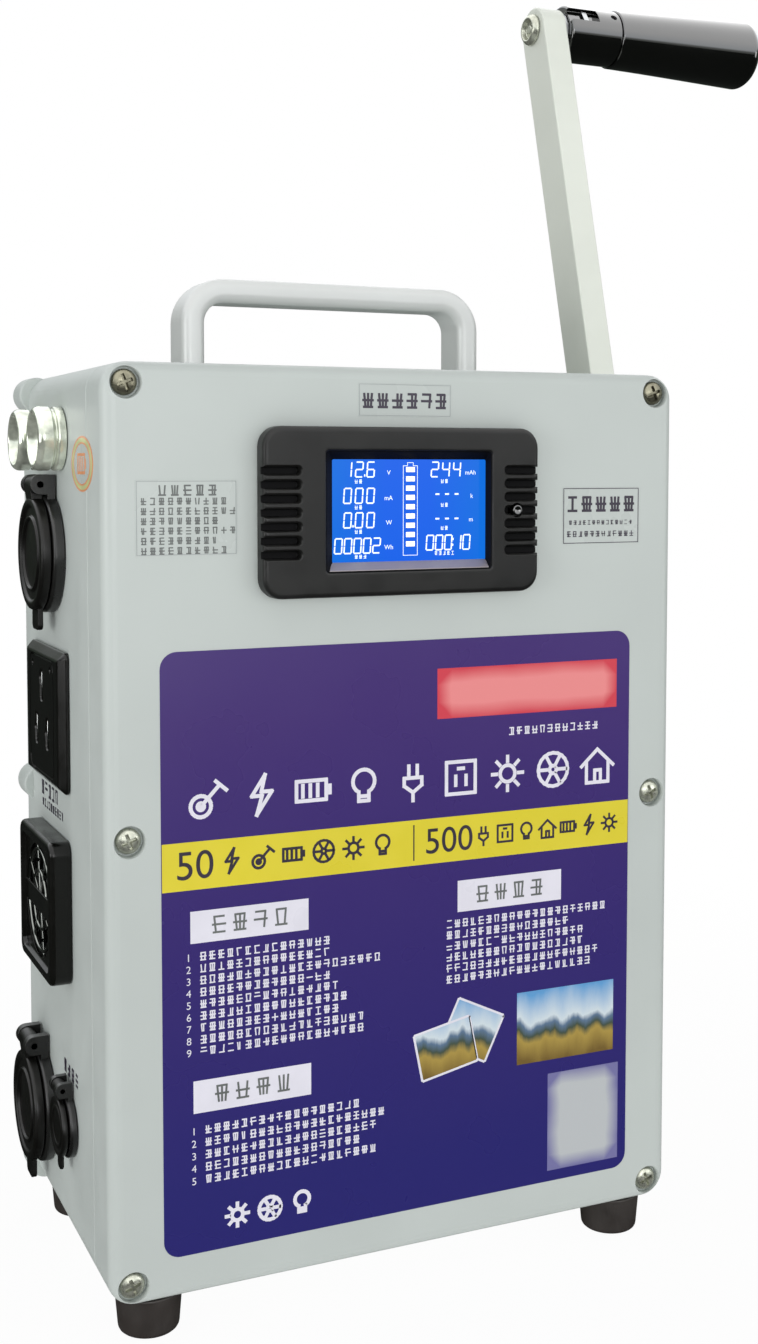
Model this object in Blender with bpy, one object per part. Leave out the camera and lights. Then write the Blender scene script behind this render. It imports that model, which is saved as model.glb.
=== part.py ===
"""Hand crank generator: a portable power box with a long crank on its right side.

Units are metres and +Z is up. The origin is the middle of the housing's underside, +X is the side
that carries the crank, -X is the side that carries the lamps and sockets, and -Y is the lid with
the meter.
"""
import math
from dataclasses import dataclass

import bmesh
import bpy
from mathutils import Matrix, Vector

# Clearances and cuts
FIT_GAP = 0.0003
OVERRUN = 0.002
MERGE_DISTANCE = 0.000001
SMOOTH_ANGLE = math.radians(32)

# How many straight sides stand for a round
LARGE_STEPS = 20
ROUND_STEPS = 12
HOLE_STEPS = 8
SCREW_STEPS = 8
TOWER_STEPS = 4

# Case
CASE_WIDTH = 0.188
CASE_HEIGHT = 0.271
CASE_DEPTH = 0.108
CASE_WALL = 0.004
CORNER_RADIUS = 0.008
EDGE_FILLET = 0.0025
LID_DEPTH = 0.018
TOWER_RADIUS = 0.0065
LUG_DIAMETER = 0.0116
LUG_LENGTH = 0.012
LUG_STAND_OUT = 0.003
GASKET_INSET = 0.0012
GASKET_WIDTH = 0.0016
GASKET_HEIGHT = 0.0012

# Lid screws
SCREW_INSET_X = 0.0069
SCREW_INSET_Z = 0.0059
SCREW_SHANK_DIAMETER = 0.0036
SCREW_HEAD_DIAMETER = 0.0074
SCREW_HEAD_HEIGHT = 0.0022
SCREW_BITE = 0.012
COUNTERBORE_DIAMETER = 0.009
COUNTERBORE_DEPTH = 0.003

# Feet
FOOT_INSET_X = 0.0145
FOOT_INSET_Y = 0.012
FOOT_TOP_DIAMETER = 0.020
FOOT_BASE_DIAMETER = 0.018
FOOT_HEIGHT = 0.012
FOOT_RECESS_DIAMETER = 0.0096
FOOT_RECESS_DEPTH = 0.006
FOOT_SCREW_DIAMETER = 0.004
FOOT_SCREW_HEAD_DIAMETER = 0.008
FOOT_SCREW_HEAD_HEIGHT = 0.0025
FOOT_SCREW_TIP = 0.003

# Carry handle
HANDLE_PITCH = 0.096
HANDLE_CENTRE_X = -0.0045
HANDLE_THICKNESS = 0.0075
HANDLE_DEPTH = 0.016
HANDLE_EDGE_RADIUS = 0.0028
HANDLE_HEIGHT = 0.0295
HANDLE_BEND_RADIUS = 0.0102
HANDLE_SCREW_DIAMETER = 0.0038
HANDLE_SCREW_BITE = 0.009
HANDLE_SCREW_HEAD_DIAMETER = 0.0078
HANDLE_SCREW_HEAD_HEIGHT = 0.0025

# Meter
METER_X = -0.0036
METER_DROP = 0.0428
METER_WIDTH = 0.090
METER_HEIGHT = 0.050
METER_PROUD = 0.0054
METER_CORNER_RADIUS = 0.006
METER_EDGE_BEVEL = 0.0012
METER_FRONT_WALL = 0.0041
METER_SIDE_WALL = 0.002
METER_BODY_WIDTH = 0.084
METER_BODY_HEIGHT = 0.044
METER_BODY_DEPTH = 0.0225
WINDOW_SHIFT = 0.0016
WINDOW_RISE = 0.00015
WINDOW_WIDTH = 0.0546
WINDOW_HEIGHT = 0.0359
SCREEN_SHIFT = 0.0032
SCREEN_WIDTH = 0.0513
SCREEN_HEIGHT = 0.0312
LCD_BORDER = 0.0015
LCD_THICKNESS = 0.0025
GRIP_RIB_COUNT = 6
GRIP_RIB_PITCH = 0.0046
GRIP_GROOVE_HEIGHT = 0.0019
GRIP_GROOVE_DEPTH = 0.0014
GRIP_ZONE_WIDTH = 0.0115
BUTTON_SHIFT = 0.0373
BUTTON_DIAMETER = 0.0032
BUTTON_FLANGE_DIAMETER = 0.0048
BUTTON_FLANGE_THICKNESS = 0.001
BUTTON_PROUD = 0.0006
BUTTON_TRAVEL = 0.0008
METER_BOARD_THICKNESS = 0.0016
SWITCH_WIDTH = 0.0045

# Lamps
LAMP_YS = (-0.004, 0.025)
LAMP_GAP_SHARE = 0.002742
LAMP_DIAMETER = 0.0195
LAMP_PROUD = 0.0088
LAMP_CUP_DIAMETER = 0.0155
LAMP_CUP_FLOOR_DIAMETER = 0.0095
LAMP_CUP_DEPTH = 0.0060
LAMP_BARREL_DIAMETER = 0.012
LAMP_BARREL_LENGTH = 0.016
LAMP_BORE_DIAMETER = 0.005
LAMP_LENS_DIAMETER = 0.0085
LAMP_LENS_HEIGHT = 0.0032
LAMP_LENS_STEM = 0.005
LAMP_NUT_WIDTH = 0.016
LAMP_NUT_THICKNESS = 0.004

# Covered sockets on the left wall, one above the other with at least this gap between the fittings
FITTING_GAP = 0.001
POWER_SOCKET_Y = 0.009
POWER_GAP_SHARE = 0.085923
USB_SOCKET_Y = 0.0285
USB_GAP_SHARE = 0.076782
BIG_FLANGE_RADIUS = 0.0185
BIG_FLANGE_THICKNESS = 0.0038
BIG_BARREL_RADIUS = 0.0140
BIG_BARREL_LENGTH = 0.036
BIG_BORE_RADIUS = 0.0106
BIG_BORE_DEPTH = 0.034
BIG_CONTACT_RADIUS = 0.0025
BIG_CONTACT_HEIGHT = 0.004
BIG_COVER_RADIUS = 0.0176
BIG_COVER_THICKNESS = 0.0034
BIG_COVER_RIM = 0.0028
BIG_COVER_RECESS = 0.0010
BIG_PLUG_RADIUS = 0.0099
BIG_PLUG_DEPTH = 0.004
BIG_HINGE_RISE = 0.0215
BIG_HINGE_STAND = 0.0052
BIG_HINGE_RADIUS = 0.0031
BIG_KNUCKLE_WIDTH = 0.0080
BIG_EAR_WIDTH = 0.0030
BIG_PIN_RADIUS = 0.0011
BIG_TAB_WIDTH = 0.0085
BIG_TAB_LENGTH = 0.0062
USB_FACE_RADIUS = 0.0135
USB_FACE_DEPTH = 0.0032
USB_PLUG_RADIUS = 0.0126
USB_PLUG_DEPTH = 0.0018
USB_SLOT_WIDTH = 0.0132
USB_SLOT_HEIGHT = 0.0058
USB_SLOT_DEPTH = 0.013
USB_SLOT_PITCH = 0.0105
JACK_Y = -0.0075
JACK_RISE = 0.006
JACK_FLANGE_RADIUS = 0.0100
JACK_FLANGE_THICKNESS = 0.0026
JACK_BARREL_RADIUS = 0.0065
JACK_BARREL_LENGTH = 0.018
JACK_BORE_RADIUS = 0.0042
JACK_BORE_DEPTH = 0.014
JACK_CONTACT_RADIUS = 0.0012
JACK_CONTACT_HEIGHT = 0.010
JACK_COVER_RADIUS = 0.0092
JACK_COVER_THICKNESS = 0.0020
JACK_COVER_RIM = 0.0016
JACK_COVER_RECESS = 0.0005
JACK_PLUG_RADIUS = 0.0036
JACK_PLUG_DEPTH = 0.0024
JACK_HINGE_RISE = 0.0122
JACK_HINGE_STAND = 0.0036
JACK_HINGE_RADIUS = 0.0023
JACK_KNUCKLE_WIDTH = 0.0044
JACK_EAR_WIDTH = 0.0020
JACK_PIN_RADIUS = 0.0008
JACK_TAB_WIDTH = 0.0050
JACK_TAB_LENGTH = 0.0044

# Mains outlet
OUTLET_Y = 0.012
OUTLET_GAP_SHARE = 0.246801
OUTLET_WIDTH = 0.048
OUTLET_HEIGHT = 0.0435
OUTLET_PROUD = 0.0035
OUTLET_BEVEL = 0.0025
OUTLET_CORNER_RADIUS = 0.002
OUTLET_BOX_WIDTH = 0.040
OUTLET_BOX_HEIGHT = 0.036
OUTLET_BOX_DEPTH = 0.019
OUTLET_SLOT_WIDTH = 0.0036
OUTLET_SLOT_HEIGHT = 0.0100
OUTLET_SLOT_DEPTH = 0.014
OUTLET_SLOT_PITCH = 0.0150
OUTLET_EARTH_RISE = 0.0100

# Cooling fan
FAN_Y = 0.00975
FAN_GAP_SHARE = 0.455210
GUARD_WIDTH = 0.0445
GUARD_PROUD = 0.007
GUARD_CORNER_RADIUS = 0.004
GUARD_EDGE_BEVEL = 0.0015
GUARD_BORE_RADIUS = 0.019
GUARD_LIP = 0.003
GRILLE_TOP = 0.0046
GRILLE_THICKNESS = 0.0016
GRILLE_HUB_RADIUS = 0.007
GRILLE_RING_COUNT = 3
GRILLE_RING_PITCH = 0.0041
GRILLE_SLOT_WIDTH = 0.0027
GRILLE_ARM_WIDTH = 0.0022
GRILLE_STEPS = 5
FAN_FRAME_WIDTH = 0.040
FAN_FRAME_DEPTH = 0.010
FAN_FRAME_CORNER = 0.003
FAN_BORE_RADIUS = 0.0185
FAN_HUB_RADIUS = 0.0085
FAN_HUB_DEPTH = 0.0075
FAN_SPIDER_THICKNESS = 0.0015
FAN_SPIDER_ARM_WIDTH = 0.0022
FAN_AXLE_RADIUS = 0.0012
FAN_BLADE_COUNT = 7
FAN_BLADE_REACH = 0.0168
FAN_BLADE_THICKNESS = 0.0012
FAN_BLADE_CHORD_SHARE = 0.82
FAN_BLADE_ROOT_SHARE = 0.9
FAN_BLADE_TAPER_SHARE = 0.25
FAN_BLADE_TWIST_SHARE = 1.4
FAN_BLADE_PITCH = math.radians(32)

# Crank
CRANK_DROP = 0.046
CRANK_LEAN = math.radians(15)
ARM_LENGTH = 0.187
ARM_WIDTH = 0.0165
ARM_THICKNESS = 0.010
ARM_STAND_OFF = 0.0048
ARM_EDGE_BEVEL = 0.0006
SHAFT_RADIUS = 0.006
SHAFT_END_RADIUS = 0.005
SHAFT_COLLAR_RADIUS = 0.0078
HUB_SCREW_DIAMETER = 0.004
HUB_SCREW_HEAD_DIAMETER = 0.012
HUB_SCREW_HEAD_HEIGHT = 0.0026
HUB_SCREW_BITE = 0.010
ARM_BOLT_DIAMETER = 0.005
ARM_BOLT_HEAD_DIAMETER = 0.0118
ARM_BOLT_HEAD_HEIGHT = 0.0024
ARM_BOLT_BITE = 0.006

# Revolving grip
GRIP_AXLE_RADIUS = 0.0060
GRIP_AXLE_FLANGE_RADIUS = 0.0075
GRIP_AXLE_FLANGE_LENGTH = 0.0009
GRIP_AXLE_LENGTH = 0.078
GRIP_KEY_PLACE = 0.0085
GRIP_KEY_BITE = 0.001
GRIP_KEY_THICKNESS = 0.002
GRIP_KEY_WIDTH = 0.0052
GRIP_KEY_STAND = 0.0008
GRIP_NOTCH_LENGTH = 0.012
GRIP_NOTCH_WIDTH = 0.006
GRIP_NOTCH_FLOOR = 0.0082
GRIP_NOTCH_RISE = math.radians(36)
GRIP_COLLAR_RADIUS = 0.01025
GRIP_COLLAR_LENGTH = 0.0218
GRIP_SPIGOT_RADIUS = 0.0085
GRIP_SPIGOT_LENGTH = 0.008
GRIP_START_RADIUS = 0.0108
GRIP_END_RADIUS = 0.0131
GRIP_TAIL_RADIUS = 0.0098
GRIP_TAIL_LENGTH = 0.0055
GRIP_LENGTH = 0.0917
GRIP_DIMPLE_RADIUS = 0.00125
GRIP_DIMPLE_PLACE = 0.019
GRIP_DIMPLE_DEPTH = 0.0015

# Gear train
GEAR_MODULE = 0.0015
DRIVE_TEETH = 36
IDLER_PINION_TEETH = 14
IDLER_TEETH = 38
ROTOR_PINION_TEETH = 12
PRESSURE_ANGLE = math.radians(20)
TOOTH_BACKLASH = 0.00022
WHEEL_ADDENDUM_SHARE = 0.75
PINION_ADDENDUM_SHARE = 0.95
DEDENDUM_SHARE = 1.25
FLANK_POINTS = 2
GEAR_WIDTH = 0.008
PINION_WIDTH = 0.0095
GEAR_SIDE_GAP = 0.0006
IDLER_HUB_RADIUS = 0.007
IDLER_WHEEL_SETBACK = 0.0065
IDLER_AXLE_RADIUS = 0.003
PLATE_THICKNESS = 0.003
PLATE_SPACING = 0.0312
PLATE_WIDTH = 0.076
PLATE_RISE = 0.0335
PLATE_DROP = 0.074
PLATE_CORNER_RADIUS = 0.006
PLATE_POST_RADIUS = 0.0035
PLATE_POST_INSET = 0.0065
BEARING_FLANGE_RADIUS = 0.019
BEARING_FLANGE_THICKNESS = 0.0025
BEARING_BARREL_RADIUS = 0.013

# Generator
GENERATOR_RADIUS = 0.0225
GENERATOR_LENGTH = 0.046
GENERATOR_WALL = 0.002
GENERATOR_NOSE_RADIUS = 0.0075
ROTOR_RADIUS = 0.0165
ROTOR_SHAFT_RADIUS = 0.0025
ROTOR_END_CLEARANCE = 0.004

# Power pack and inverter
PACK_WIDTH = 0.112
PACK_DEPTH = 0.066
PACK_HEIGHT = 0.062
PACK_X = 0.016
PACK_Y = 0.004
PACK_CORNER_RADIUS = 0.004
BOARD_X = 0.012
BOARD_WIDTH = 0.110
BOARD_DEPTH = 0.070
BOARD_THICKNESS = 0.0016
BOARD_Z = 0.078
BOARD_POST_RADIUS = 0.003
TRANSFORMER_WIDTH = 0.030
TRANSFORMER_DEPTH = 0.026
TRANSFORMER_HEIGHT = 0.024
TRANSFORMER_X_SHARE = -0.18
HEAT_SINK_WIDTH = 0.040
HEAT_SINK_DEPTH = 0.024
HEAT_SINK_HEIGHT = 0.022
HEAT_SINK_X_SHARE = 0.25
HEAT_SINK_FIN_COUNT = 6
HEAT_SINK_SLOT_WIDTH = 0.003
HEAT_SINK_BASE = 0.004

# Places that follow from the sizes
FRONT_Y = -CASE_DEPTH / 2
BACK_Y = CASE_DEPTH / 2
SEAM_Y = FRONT_Y + LID_DEPTH
LEFT_X = -CASE_WIDTH / 2
RIGHT_X = CASE_WIDTH / 2
MIDDLE_Z = CASE_HEIGHT / 2
BODY_DEPTH = CASE_DEPTH - LID_DEPTH - FIT_GAP
SCREW_PITCH_X = CASE_WIDTH - 2 * SCREW_INSET_X
SCREW_PITCH_Z = CASE_HEIGHT - 2 * SCREW_INSET_Z
FOOT_PITCH_X = CASE_WIDTH - 2 * FOOT_INSET_X
FOOT_PITCH_Y = CASE_DEPTH - 2 * FOOT_INSET_Y
METER_Z = CASE_HEIGHT - METER_DROP
WINDOW_X = METER_X + WINDOW_SHIFT
WINDOW_Z = METER_Z + WINDOW_RISE
SCREEN_X = METER_X + SCREEN_SHIFT
BUTTON_X = METER_X + BUTTON_SHIFT
INNER_HALF_WIDTH = CASE_WIDTH / 2 - CASE_WALL
INNER_HALF_HEIGHT = CASE_HEIGHT / 2 - CASE_WALL
BIG_REACH_DOWN = BIG_COVER_RADIUS + BIG_TAB_LENGTH
BIG_REACH_UP = BIG_HINGE_RISE + BIG_HINGE_RADIUS
FITTING_ROOM = (CASE_HEIGHT - 2 * CASE_WALL - 4 * FITTING_GAP - 2 * (BIG_REACH_DOWN + BIG_REACH_UP)
                - GUARD_WIDTH - OUTLET_HEIGHT - LAMP_DIAMETER)
USB_SOCKET_Z = CASE_WALL + USB_GAP_SHARE * FITTING_ROOM + BIG_REACH_DOWN
JACK_Z = USB_SOCKET_Z + JACK_RISE
FAN_Z = USB_SOCKET_Z + BIG_REACH_UP + FITTING_GAP + FAN_GAP_SHARE * FITTING_ROOM + GUARD_WIDTH / 2
OUTLET_Z = FAN_Z + (GUARD_WIDTH + OUTLET_HEIGHT) / 2 + FITTING_GAP + OUTLET_GAP_SHARE * FITTING_ROOM
POWER_SOCKET_Z = (OUTLET_Z + OUTLET_HEIGHT / 2 + FITTING_GAP + POWER_GAP_SHARE * FITTING_ROOM
                  + BIG_REACH_DOWN)
LAMP_Z = (POWER_SOCKET_Z + BIG_REACH_UP + FITTING_GAP + LAMP_GAP_SHARE * FITTING_ROOM
          + LAMP_DIAMETER / 2)
CRANK_Z = CASE_HEIGHT - CRANK_DROP
PLATE_TOP_Z = CRANK_Z + PLATE_RISE
PLATE_BOTTOM_Z = CRANK_Z - PLATE_DROP
ARM_INNER_X = RIGHT_X + ARM_STAND_OFF
ARM_OUTER_X = ARM_INNER_X + ARM_THICKNESS
GEAR_CENTRES = GEAR_MODULE * (DRIVE_TEETH + IDLER_PINION_TEETH) / 2
IDLER_Z = CRANK_Z - GEAR_CENTRES
OUTER_PLATE_X = INNER_HALF_WIDTH - FIT_GAP - PLATE_THICKNESS
INNER_PLATE_X = OUTER_PLATE_X - PLATE_SPACING
DRIVE_GEAR_X = OUTER_PLATE_X - GEAR_SIDE_GAP - GEAR_WIDTH
SHAFT_INNER_X = DRIVE_GEAR_X - PLATE_THICKNESS / 2
IDLER_WHEEL_X = INNER_PLATE_X + IDLER_WHEEL_SETBACK

# Directions that pieces are turned to: their own +Z looks out of the named side
FACING_FRONT = Matrix.Rotation(math.radians(90), 4, "X")
FACING_LEFT = Matrix.Rotation(math.radians(-90), 4, "Y")
FACING_RIGHT = Matrix.Rotation(math.radians(90), 4, "Y")
FACING_DOWN = Matrix.Rotation(math.radians(180), 4, "X")
FACING_UP = Matrix.Identity(4)


# Materials

MATERIAL_LOOKS = {
    "housing_grey": ((0.56, 0.60, 0.57), 0.45, 0.0),
    "moulded_black": ((0.030, 0.029, 0.028), 0.35, 0.0),
    "rubber_black": ((0.035, 0.025, 0.024), 0.75, 0.0),
    "gasket_black": ((0.020, 0.020, 0.020), 0.85, 0.0),
    "zinc_screw": ((0.56, 0.55, 0.46), 0.35, 1.0),
    "handle_aluminium": ((0.68, 0.70, 0.70), 0.38, 1.0),
    "arm_aluminium": ((0.47, 0.50, 0.44), 0.45, 1.0),
    "chrome": ((0.80, 0.80, 0.80), 0.08, 1.0),
    "lamp_lens": ((0.92, 0.92, 0.84), 0.10, 0.0),
    "meter_screen": ((0.015, 0.10, 0.95), 0.20, 0.0),
    "grip_black": ((0.012, 0.012, 0.012), 0.15, 0.0),
    "steel": ((0.42, 0.42, 0.42), 0.35, 1.0),
    "gear_nylon": ((0.75, 0.73, 0.66), 0.50, 0.0),
    "circuit_green": ((0.02, 0.16, 0.07), 0.50, 0.0),
    "pack_blue": ((0.03, 0.09, 0.30), 0.40, 0.0),
}


def material_named(name):
    """Return the named material, made from its colour, roughness and metallic value."""
    known = bpy.data.materials.get(name)
    if known:
        return known
    colour, roughness, metallic = MATERIAL_LOOKS[name]
    material = bpy.data.materials.new(name)
    material.use_nodes = True
    shader = material.node_tree.nodes["Principled BSDF"]
    shader.inputs["Base Color"].default_value = (*colour, 1.0)
    shader.inputs["Roughness"].default_value = roughness
    shader.inputs["Metallic"].default_value = metallic
    material.diffuse_color = (*colour, 1.0)
    return material


# Outlines

def arc(centre_x, centre_y, radius, start, end, steps):
    """Points on an arc from the start angle to the end angle."""
    turns = [start + (end - start) * step / steps for step in range(steps + 1)]
    return [(centre_x + radius * math.cos(turn), centre_y + radius * math.sin(turn)) for turn in turns]


def circle(radius, steps, centre_x=0.0, centre_y=0.0):
    """Points of a whole circle, without the repeated last one."""
    return arc(centre_x, centre_y, radius, 0.0, math.tau, steps)[:-1]


def rounded_rectangle(width, height, radius, steps=4):
    """Outline of a rectangle about its middle, with four round corners."""
    reach_x = width / 2 - radius
    reach_y = height / 2 - radius
    points = []
    for quarter, (side_x, side_y) in enumerate(((1, 1), (-1, 1), (-1, -1), (1, -1))):
        start = quarter * math.pi / 2
        points += arc(side_x * reach_x, side_y * reach_y, radius, start, start + math.pi / 2, steps)
    return points


def stadium(length, width, steps=6):
    """Outline of a bar with round ends, long along X."""
    reach = (length - width) / 2
    right = arc(reach, 0.0, width / 2, -math.pi / 2, math.pi / 2, steps)
    left = arc(-reach, 0.0, width / 2, math.pi / 2, 3 * math.pi / 2, steps)
    return right + left


def cavity_outline():
    """Inside wall of the case: a rounded rectangle that bends round the six screw towers."""
    tower_x = SCREW_PITCH_X / 2
    tower_y = SCREW_PITCH_Z / 2
    side = math.acos((INNER_HALF_WIDTH - tower_x) / TOWER_RADIUS)
    top = math.asin((INNER_HALF_HEIGHT - tower_y) / TOWER_RADIUS)
    upper = arc(tower_x, tower_y, TOWER_RADIUS, math.tau - side, math.pi - top, TOWER_STEPS)
    middle = arc(tower_x, 0.0, TOWER_RADIUS, math.tau - side, side, TOWER_STEPS)
    lower = [(x, -y) for x, y in reversed(upper)]
    right = lower + middle + upper
    left = [(-x, -y) for x, y in right]
    return right + left


# Meshes

def prisms(outlines, bottom, top):
    """Straight solids between two heights, one for each outline in the XY plane."""
    mesh = bmesh.new()
    for outline in outlines:
        corners = [mesh.verts.new((x, y, bottom)) for x, y in outline]
        floor = mesh.faces.new(corners)
        lifted = bmesh.ops.extrude_face_region(mesh, geom=[floor])["geom"]
        moved = [part for part in lifted if isinstance(part, bmesh.types.BMVert)]
        bmesh.ops.translate(mesh, verts=moved, vec=(0.0, 0.0, top - bottom))
    return mesh


def prism(outline, bottom, top):
    """Straight solid between two heights, from an outline in its own XY plane."""
    return prisms([outline], bottom, top)


def turned(profile, steps):
    """Solid of revolution about its own Z, from a profile of (radius, height) points.

    A profile that starts and ends on the axis gives a solid piece, and any other is closed on
    itself into a ring.
    """
    mesh = bmesh.new()
    corners = [mesh.verts.new((radius, 0.0, height)) for radius, height in profile]
    edges = [mesh.edges.new(pair) for pair in zip(corners, corners[1:])]
    on_axis = profile[0][0] == 0.0 and profile[-1][0] == 0.0
    if not on_axis:
        edges.append(mesh.edges.new((corners[-1], corners[0])))
    bmesh.ops.spin(mesh, geom=corners + edges, cent=(0, 0, 0), axis=(0, 0, 1), angle=math.tau,
                   steps=steps, use_merge=True, use_duplicate=False)
    bmesh.ops.remove_doubles(mesh, verts=mesh.verts, dist=MERGE_DISTANCE)
    return mesh


def lofted(rings):
    """Skin a row of rings that hold the same number of points, and close both ends."""
    mesh = bmesh.new()
    rows = [[mesh.verts.new(point) for point in ring] for ring in rings]
    count = len(rows[0])
    for near, far in zip(rows, rows[1:]):
        for index in range(count):
            following = (index + 1) % count
            mesh.faces.new((near[index], near[following], far[following], far[index]))
    mesh.faces.new(list(reversed(rows[0])))
    mesh.faces.new(rows[-1])
    return mesh


def ring_prism(outer, inner, bottom, top):
    """Straight ring between two outlines that hold the same number of points."""
    mesh = bmesh.new()
    loops = []
    for outline in (outer, inner):
        corners = [mesh.verts.new((x, y, bottom)) for x, y in outline]
        loops += [mesh.edges.new(pair) for pair in zip(corners, corners[1:] + corners[:1])]
    faces = bmesh.ops.bridge_loops(mesh, edges=loops)["faces"]
    lifted = bmesh.ops.extrude_face_region(mesh, geom=faces)["geom"]
    moved = [part for part in lifted if isinstance(part, bmesh.types.BMVert)]
    bmesh.ops.translate(mesh, verts=moved, vec=(0.0, 0.0, top - bottom))
    return mesh


def box(width, depth, height, centre=(0.0, 0.0, 0.0)):
    """Box about a centre, which cutters and small blocks are made from."""
    mesh = bmesh.new()
    size = Matrix.Diagonal((width, depth, height, 1.0))
    bmesh.ops.create_cube(mesh, size=1.0, matrix=Matrix.Translation(centre) @ size)
    return mesh


def soften_rim(mesh, height, width, segments=1):
    """Bevel the edges that run round a solid's rim at one height of its own Z."""
    rim = [edge for edge in mesh.edges
           if all(abs(vert.co.z - height) < MERGE_DISTANCE for vert in edge.verts)]
    bmesh.ops.bevel(mesh, geom=rim, offset=width, segments=segments, profile=0.5,
                    affect="EDGES", clamp_overlap=True)
    return mesh


# Objects

def add_object(name, mesh, material=None, place=(0.0, 0.0, 0.0), turn=FACING_UP, parent=None):
    """Make an object of a finished mesh, smooth where it is round, at its place and turn."""
    bmesh.ops.recalc_face_normals(mesh, faces=mesh.faces)
    data = bpy.data.meshes.new(name)
    mesh.to_mesh(data)
    mesh.free()
    data.shade_smooth()
    data.set_sharp_from_angle(angle=SMOOTH_ANGLE)
    if material:
        data.materials.append(material_named(material))
    item = bpy.data.objects.new(name, data)
    bpy.context.scene.collection.objects.link(item)
    item.parent = parent
    item.matrix_basis = Matrix.Translation(place) @ turn
    return item


def add_pivot(name, place, turn=FACING_UP, parent=None):
    """Empty on a joint's axis, which carries the pieces that move with it."""
    pivot = bpy.data.objects.new(name, None)
    pivot.empty_display_size = SHAFT_RADIUS
    bpy.context.scene.collection.objects.link(pivot)
    pivot.matrix_basis = Matrix.Translation(place) @ turn
    pivot.parent = parent
    return pivot


def combine(item, mesh, place, turn, operation, parent=None):
    """Cut a shape from an object, or join it on, with an exact Boolean."""
    tool = add_object(f"{item.name}_{operation.lower()}_{len(item.modifiers)}", mesh, None, place,
                      turn, parent)
    tool.hide_render = True
    tool.display_type = "WIRE"
    modifier = item.modifiers.new(operation.title(), "BOOLEAN")
    modifier.operation = operation
    modifier.solver = "EXACT"
    modifier.object = tool
    return tool


def cut(item, mesh, place=(0.0, 0.0, 0.0), turn=FACING_UP, parent=None):
    """Cut a shape out of an object."""
    return combine(item, mesh, place, turn, "DIFFERENCE", parent)


def join(item, mesh, place=(0.0, 0.0, 0.0), turn=FACING_UP, parent=None):
    """Join a shape on to an object as one solid."""
    return combine(item, mesh, place, turn, "UNION", parent)


def repeat_tool(tool, count, offset):
    """Repeat a cutter in a row, with the row centred on the cutter's place."""
    row = tool.modifiers.new("Row", "ARRAY")
    row.count = count
    row.use_relative_offset = False
    row.use_constant_offset = True
    row.constant_offset_displace = offset
    row.use_merge_vertices = False
    tool.data.transform(Matrix.Translation(-Vector(offset) * (count - 1) / 2))


def screw_mesh(head_diameter, head_height, shank_diameter, length, steps=SCREW_STEPS):
    """Pan head screw: its head stands on z = 0 and its shank points down to a blunt cone."""
    head = head_diameter / 2
    shank = shank_diameter / 2
    return turned([(0.0, head_height), (head / 2, head_height), (head, head_height / 2), (head, 0.0),
                   (shank, 0.0), (shank, -length + shank), (0.0, -length)], steps)


# Case

def screw_places():
    """Where the six lid screws stand, as X and Z on the lid."""
    columns = (-SCREW_PITCH_X / 2, SCREW_PITCH_X / 2)
    rows = (MIDDLE_Z + SCREW_PITCH_Z / 2, MIDDLE_Z, MIDDLE_Z - SCREW_PITCH_Z / 2)
    return [(x, z) for z in rows for x in columns]


def foot_places():
    """Where the four feet stand, as X and Y on the underside."""
    return [(side_x * FOOT_PITCH_X / 2, side_y * FOOT_PITCH_Y / 2)
            for side_y in (-1, 1) for side_x in (-1, 1)]


def handle_places():
    """X of the two ends of the carry handle."""
    return [HANDLE_CENTRE_X - HANDLE_PITCH / 2, HANDLE_CENTRE_X + HANDLE_PITCH / 2]


def cut_left_wall(body, outline, y, z):
    """Cut an outline through the left wall, with the outline's X up and its Y to the back."""
    cut(body, prism(outline, -CASE_WALL - OVERRUN, OVERRUN), (LEFT_X, y, z), FACING_LEFT)


def cut_foot_hole(shell, x, y):
    """Cut the hole of a foot's screw through the bottom wall."""
    hole = prism(circle(FOOT_SCREW_DIAMETER / 2 + FIT_GAP, HOLE_STEPS), -OVERRUN,
                 CASE_WALL + FOOT_SCREW_TIP + OVERRUN)
    cut(shell, hole, (x, y, 0.0))


def add_rear_lugs(body):
    """Join the round lugs that stand out of both sides at the back rim."""
    radius = LUG_DIAMETER / 2
    reach = RIGHT_X + LUG_STAND_OUT - radius
    for x, z in screw_places():
        join(body, prism(circle(radius, ROUND_STEPS), 0.0, LUG_LENGTH),
             (math.copysign(reach, x), BACK_Y, z), FACING_FRONT)


def cut_left_fittings(body):
    """Cut the left wall for the lamps, the sockets, the mains outlet and the fan."""
    for lamp_y in LAMP_YS:
        cut_left_wall(body, circle(LAMP_BARREL_DIAMETER / 2 + FIT_GAP, LARGE_STEPS), lamp_y, LAMP_Z)
    big_hole = circle(BIG_BARREL_RADIUS + FIT_GAP, LARGE_STEPS)
    cut_left_wall(body, big_hole, POWER_SOCKET_Y, POWER_SOCKET_Z)
    cut_left_wall(body, big_hole, USB_SOCKET_Y, USB_SOCKET_Z)
    cut_left_wall(body, circle(JACK_BARREL_RADIUS + FIT_GAP, ROUND_STEPS), JACK_Y, JACK_Z)
    outlet_hole = rounded_rectangle(OUTLET_BOX_HEIGHT + 2 * FIT_GAP, OUTLET_BOX_WIDTH + 2 * FIT_GAP,
                                    OUTLET_CORNER_RADIUS)
    cut_left_wall(body, outlet_hole, OUTLET_Y, OUTLET_Z)
    cut_left_wall(body, circle(FAN_BORE_RADIUS, LARGE_STEPS), FAN_Y, FAN_Z)


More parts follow.
